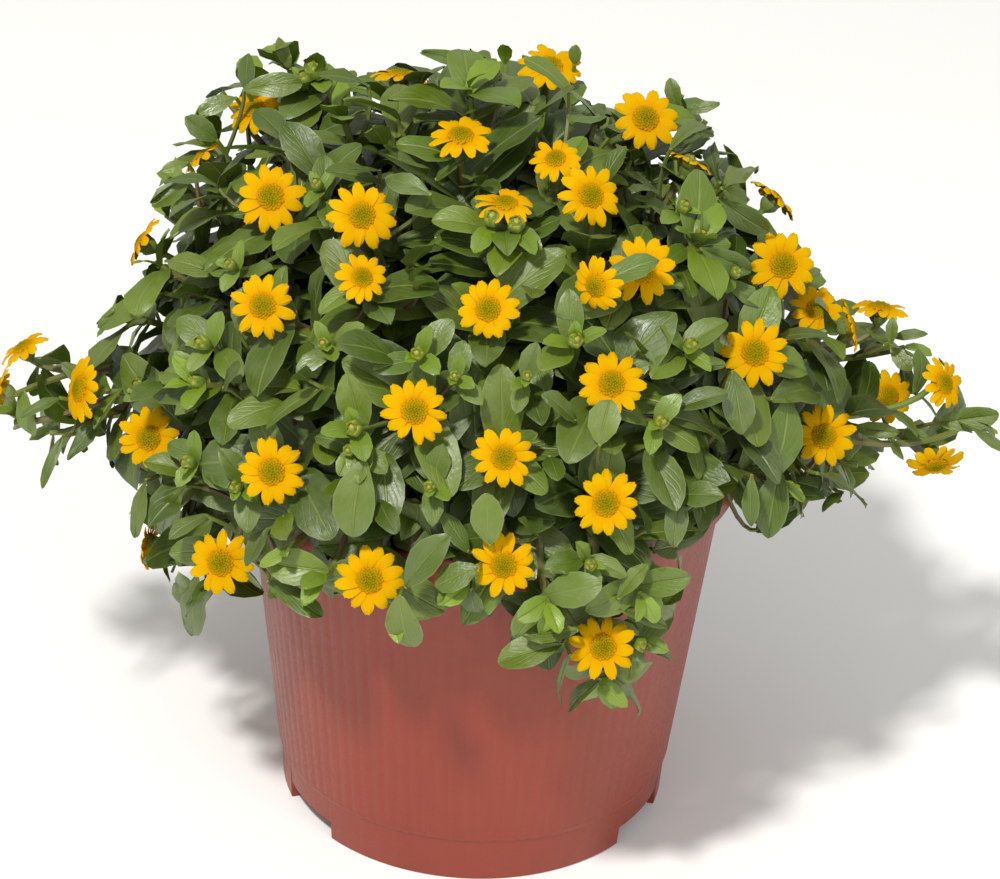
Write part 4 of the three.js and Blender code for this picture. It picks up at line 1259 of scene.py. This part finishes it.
foliage_rng = np.random.default_rng(11)
for share in range(crown_number + 1):
    bunch = Bunch()
    grown = [leaf for leaf in growth.leaves if leaf["share"] == share]
    for grid, own in (
        (large_blade, [leaf for leaf in grown if leaf["long"][0] >= small_long]),
        (small_blade, [leaf for leaf in grown if leaf["long"][0] < small_long]),
    ):
        youth = np.array([leaf["young"] for leaf in own])
        # A leaf's low is its share of painted shade.
        shade = np.array([leaf["low"] for leaf in own])
        add_leaves(bunch, pieces_together(own), grid, (0, 1), youth, shade)
    shaded = inner_clear & (inner_share == share)
    own = {key: value[shaded] for key, value in inner_leaf.items()}
    # The shaded growth takes the darker tones and 0.7 of painted shade.
    add_leaves(bunch, own, shade_blade, (0, 0.6), 0, 0.7)

    own_tips = [tip for tip in tips if tip["share"] == share]
    lines = np.array([bezier(tip["corners"], np.linspace(0, 1, shoot_rows)) for tip in own_tips])
    add_tubes(bunch, lines, *shoot_radii, shoot_sides, (0.1, 0.75), 0.5)
    from_bearing, to_bearing = span_of(share) if share < crown_number else (0, 0)
    ring = crown_radius + crown_ring / 2 if share < crown_number else 0
    root = facing((from_bearing + to_bearing) / 2, 0) * ring + up * (soil_top - root_depth)
    fork = root * [1, 1, 0] + up * (soil_top + stem_rise)
    main_stem = np.array([root + (fork - root) * t for t in np.linspace(0, 1, 6)])
    add_tubes(bunch, main_stem[None], *stem_radii, stem_sides, (0.5, 0.8), 0)
    starts = lines[:, 0]
    bow = fork + (starts - fork) * branch_bow + up * 4
    t = np.linspace(0, 1, 7)[None, :, None]
    branches = (1 - t) ** 2 * fork + 2 * t * (1 - t) * bow[:, None] + t**2 * starts[:, None]
    add_tubes(bunch, branches, *branch_radii, shoot_sides, (0.4, 0.8), 0)

    own_twigs = [twig for twig in twigs if twig["share"] == share]
    own_lines = twig_lines(own_twigs, lines[:, :-1].reshape(-1, 3))
    add_tubes(bunch, own_lines, *twig_radii, twig_sides, (0, 0.7), 0.6)

    bloom_tips = [tip for tip in own_tips if tip["kind"] == "bloom"]
    if bloom_tips:
        places = [(tip["size"], stand_of(tip["face"], tip["spin"]), tip["point"]) for tip in bloom_tips]
        add_spun(bunch, cup_bell, 0.05, places, (0, 0.3), 0.2, 0)
        own = pieces_together([set_at(cup_bracts, *place) for place in places])
        add_leaves(bunch, own, small_blade, (0.2, 0.8), 0.25, 0)
    buds = [(tip["size"], tip["face"], tip["point"]) for tip in own_tips if tip["kind"] == "bud"]
    buds += [(twig["size"], twig["stem"], twig["at"]) for twig in own_twigs if twig["kind"] == "bud"]
    places = [(size, stand_of(face, 0), point) for size, face, point in buds]
    if places:
        add_spun(bunch, bud_globe, 0.07, places, (0, 0.3), 0.55, 0.35)
        own = pieces_together([set_at(bud_bracts, *place) for place in places])
        add_leaves(bunch, own, small_blade, (0.4, 1), 0.6, 0)
    foliage = bunch.build(f"foliage_{share + 1}", [leaf_upper, leaf_under, stem_skin])
    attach(foliage, "root")
    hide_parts(f"leafy_stem_{share + 1}")


# Blooms: twelve or thirteen golden rays with notched tips round a domed disc of small florets, olive in the
# middle and orange at the rim. Each head sits in a green cup of bracts at the end of its stalk.
ray_grid = Grid(6, 5)
ray_start, ray_reach, ray_half, ray_droop = 2.4, 8.15, 1.52, 0.9
disc_radius, disc_rise, disc_rim, floret_count = 3.05, 1.6, 0.35, 84


def rays(count, droop, rng):
    """Ray petals set round the disc: narrow at the root and widest near the tip, with two low ridges and a
    notched tip. Each rises off the disc, bends down by the droop and leans on the next like a fan."""
    angle = 2 * np.pi * (np.arange(count) + rng.uniform(-0.24, 0.24, count)) / count
    long = (ray_reach - ray_start) * rng.uniform(0.84, 1.06, count)
    sag = droop * rng.uniform(0.4, 1.6, count) + 0.4
    lean = rng.uniform(-0.15, 0.3, count)
    wide = ray_half * rng.uniform(0.88, 1.1, count)
    angle, long, sag, lean, wide = (x[:, None, None] for x in (angle, long, sag, lean, wide))
    t, s = ray_grid.t[None], ray_grid.s[None]
    blunt = 1 - 0.14 * s**4 * t**3 - 0.05 * (1 - np.abs(s)) ** 2 * t**6
    out = ray_start + long * t * blunt
    half = wide * (0.68 + 0.32 * np.sin(0.56 * np.pi * t**0.7)) * (1 - 0.42 * t**5)
    z = 0.35 + 0.9 * np.sin(0.55 * np.pi * t) - sag * t**2 * 1.3 + s * half * lean
    ridge = 0.12 * np.cos(2 * np.pi * s) * np.sin(np.pi * np.clip(t, 0.05, 0.95))
    cup = 0.16 * half * s**2 * (1 - t)

    def sheet(lift):
        x, y = out, s * half
        return np.stack(
            [x * np.cos(angle) - y * np.sin(angle), x * np.sin(angle) + y * np.cos(angle), z + cup + lift], -1
        )

    return closed_sheets(sheet(0.10 - ridge), sheet(-0.12 - ridge), sheet(-ridge))


dome_profile = [
    (0.5, -1.15), (2.3, -1.1), (2.9, -0.5), (3.0, 0.2), (2.7, 0.75), (2.1, 1.2), (1.2, 1.5), (0.4, 1.6),
]
dome_sides, floret_sides = 16, 6
dome_points = spun(dome_profile, dome_sides)
dome_cells = ring_faces(len(dome_profile), dome_sides)
floret_profile = [(0.30, -0.35), (0.40, 0.10), (0.36, 0.32), (0.14, 0.45)]
floret_points = spun(floret_profile, floret_sides)
floret_cells = ring_faces(len(floret_profile), floret_sides)
floret_k = np.arange(floret_count)
floret_r = (disc_radius - 0.1) * np.sqrt((floret_k + 0.5) / floret_count)
floret_a = np.radians(golden_turn * floret_k)
floret_z = disc_rim + (disc_rise - disc_rim) * (1 - (floret_r / disc_radius) ** 2)
floret_lean = 0.6 * floret_r / disc_radius


def florets(rng):
    """The disc's florets on a golden spiral, leaning outwards, taller and wider open towards the rim."""
    out = np.stack([np.cos(floret_a), np.sin(floret_a), 0 * floret_a], -1)
    axis = unit(out * np.sin(floret_lean)[:, None] + up * np.cos(floret_lean)[:, None])
    one = unit(np.cross(axis, out + [0, 0, 0.1]))
    two = np.cross(axis, one)
    size = (0.82 + 0.35 * floret_r / disc_radius)[:, None] * rng.uniform(0.85, 1.2, (floret_count, 1))
    local = floret_points[None] * size[:, :, None]
    place = out * floret_r[:, None] + up * floret_z[:, None]
    return (
        place[:, None]
        + one[:, None] * local[..., :1]
        + two[:, None] * local[..., 1:2]
        + axis[:, None] * local[..., 2:]
    )


ray_gold, shader, node, join = new_material("ray_gold", 0.5)
place = node("TexCoord")["Object"]
maps = node("SeparateXYZ", Vector=node("UVMap", {"uv_map": "across_along"})["UV"])
state = node("SeparateXYZ", Vector=node("Attribute", {"attribute_name": "state"})["Vector"])
root_gold, ray_colour, tip_gold = (0.540, 0.235, 0.0006), (0.585, 0.335, 0.0006), (0.600, 0.360, 0.001)
along = ramp(node, maps["Y"], (0.0, root_gold), (0.55, ray_colour), (1.0, tip_gold))
lines = maths(node, "SINE", maths(node, "MULTIPLY", maps["X"], 44.0))
lines = between(node, lines, -1.0, 1.0, 0.0, 0.22)
lined = blend(node, lines, along, (0.600, 0.300, 0.001))
join(blend(node, maths(node, "MULTIPLY", state["X"], 0.35), lined, (0.640, 0.310, 0.001)), "Base Color")
soft = node("TexNoise", Vector=place, Scale=2200.0, Detail=2.0)["Fac"]
join(bump(node, 0.3, 0.0002, maths(node, "MULTIPLY_ADD", lines, 2.0, soft)), "Normal")
join(between(node, soft, 0.3, 0.7, 0.55, 0.7), "Roughness")
shader.inputs["Specular IOR Level"].default_value = 0.02

disc_florets, shader, node, join = new_material("disc_florets", 0.7)
shader.inputs["Specular IOR Level"].default_value = 0.02
state = node("SeparateXYZ", Vector=node("Attribute", {"attribute_name": "state"})["Vector"])
disc_olive, disc_middle, disc_orange = (0.210, 0.165, 0.001), (0.300, 0.190, 0.001), (0.510, 0.235, 0.001)
disc = ramp(node, state["Y"], (0.30, disc_olive), (0.66, disc_middle), (0.97, disc_orange))
pollen = node("TexNoise", Vector=node("TexCoord")["Object"], Scale=3000.0, Detail=2.0)["Fac"]
join(blend(node, between(node, pollen, 0.5, 0.75, 0.0, 0.5), disc, (0.430, 0.290, 0.003)), "Base Color")
join(bump(node, 0.4, 0.0002, pollen), "Normal")

for number, tip in enumerate(blooms):
    rng = np.random.default_rng(300 + number)
    bunch = Bunch()
    count = int(rng.integers(12, 14))
    state = np.stack([rng.uniform(0, 1, count), np.zeros(count), np.zeros(count)], -1)[:, None]
    bunch.add(rays(count, ray_droop, rng), ray_grid.cells, 0, ray_grid.map, state)
    bunch.add(dome_points[None], dome_cells, 1, 0, [0, 0.5, 0])
    floret_state = np.stack([0 * floret_r, floret_r / disc_radius, 0 * floret_r], -1)[:, None]
    bunch.add(florets(rng), floret_cells, 1, 0, floret_state)
    stand = stand_of(tip["face"], tip["spin"])
    bunch.points = [np.concatenate(bunch.points) * tip["size"] @ stand.T + tip["point"]]
    head = bunch.build(f"bloom_head_{number + 1:02d}", [ray_gold, disc_florets], crease=40)
    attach(head, "root")
    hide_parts(f"bloom_{number + 1:02d}")
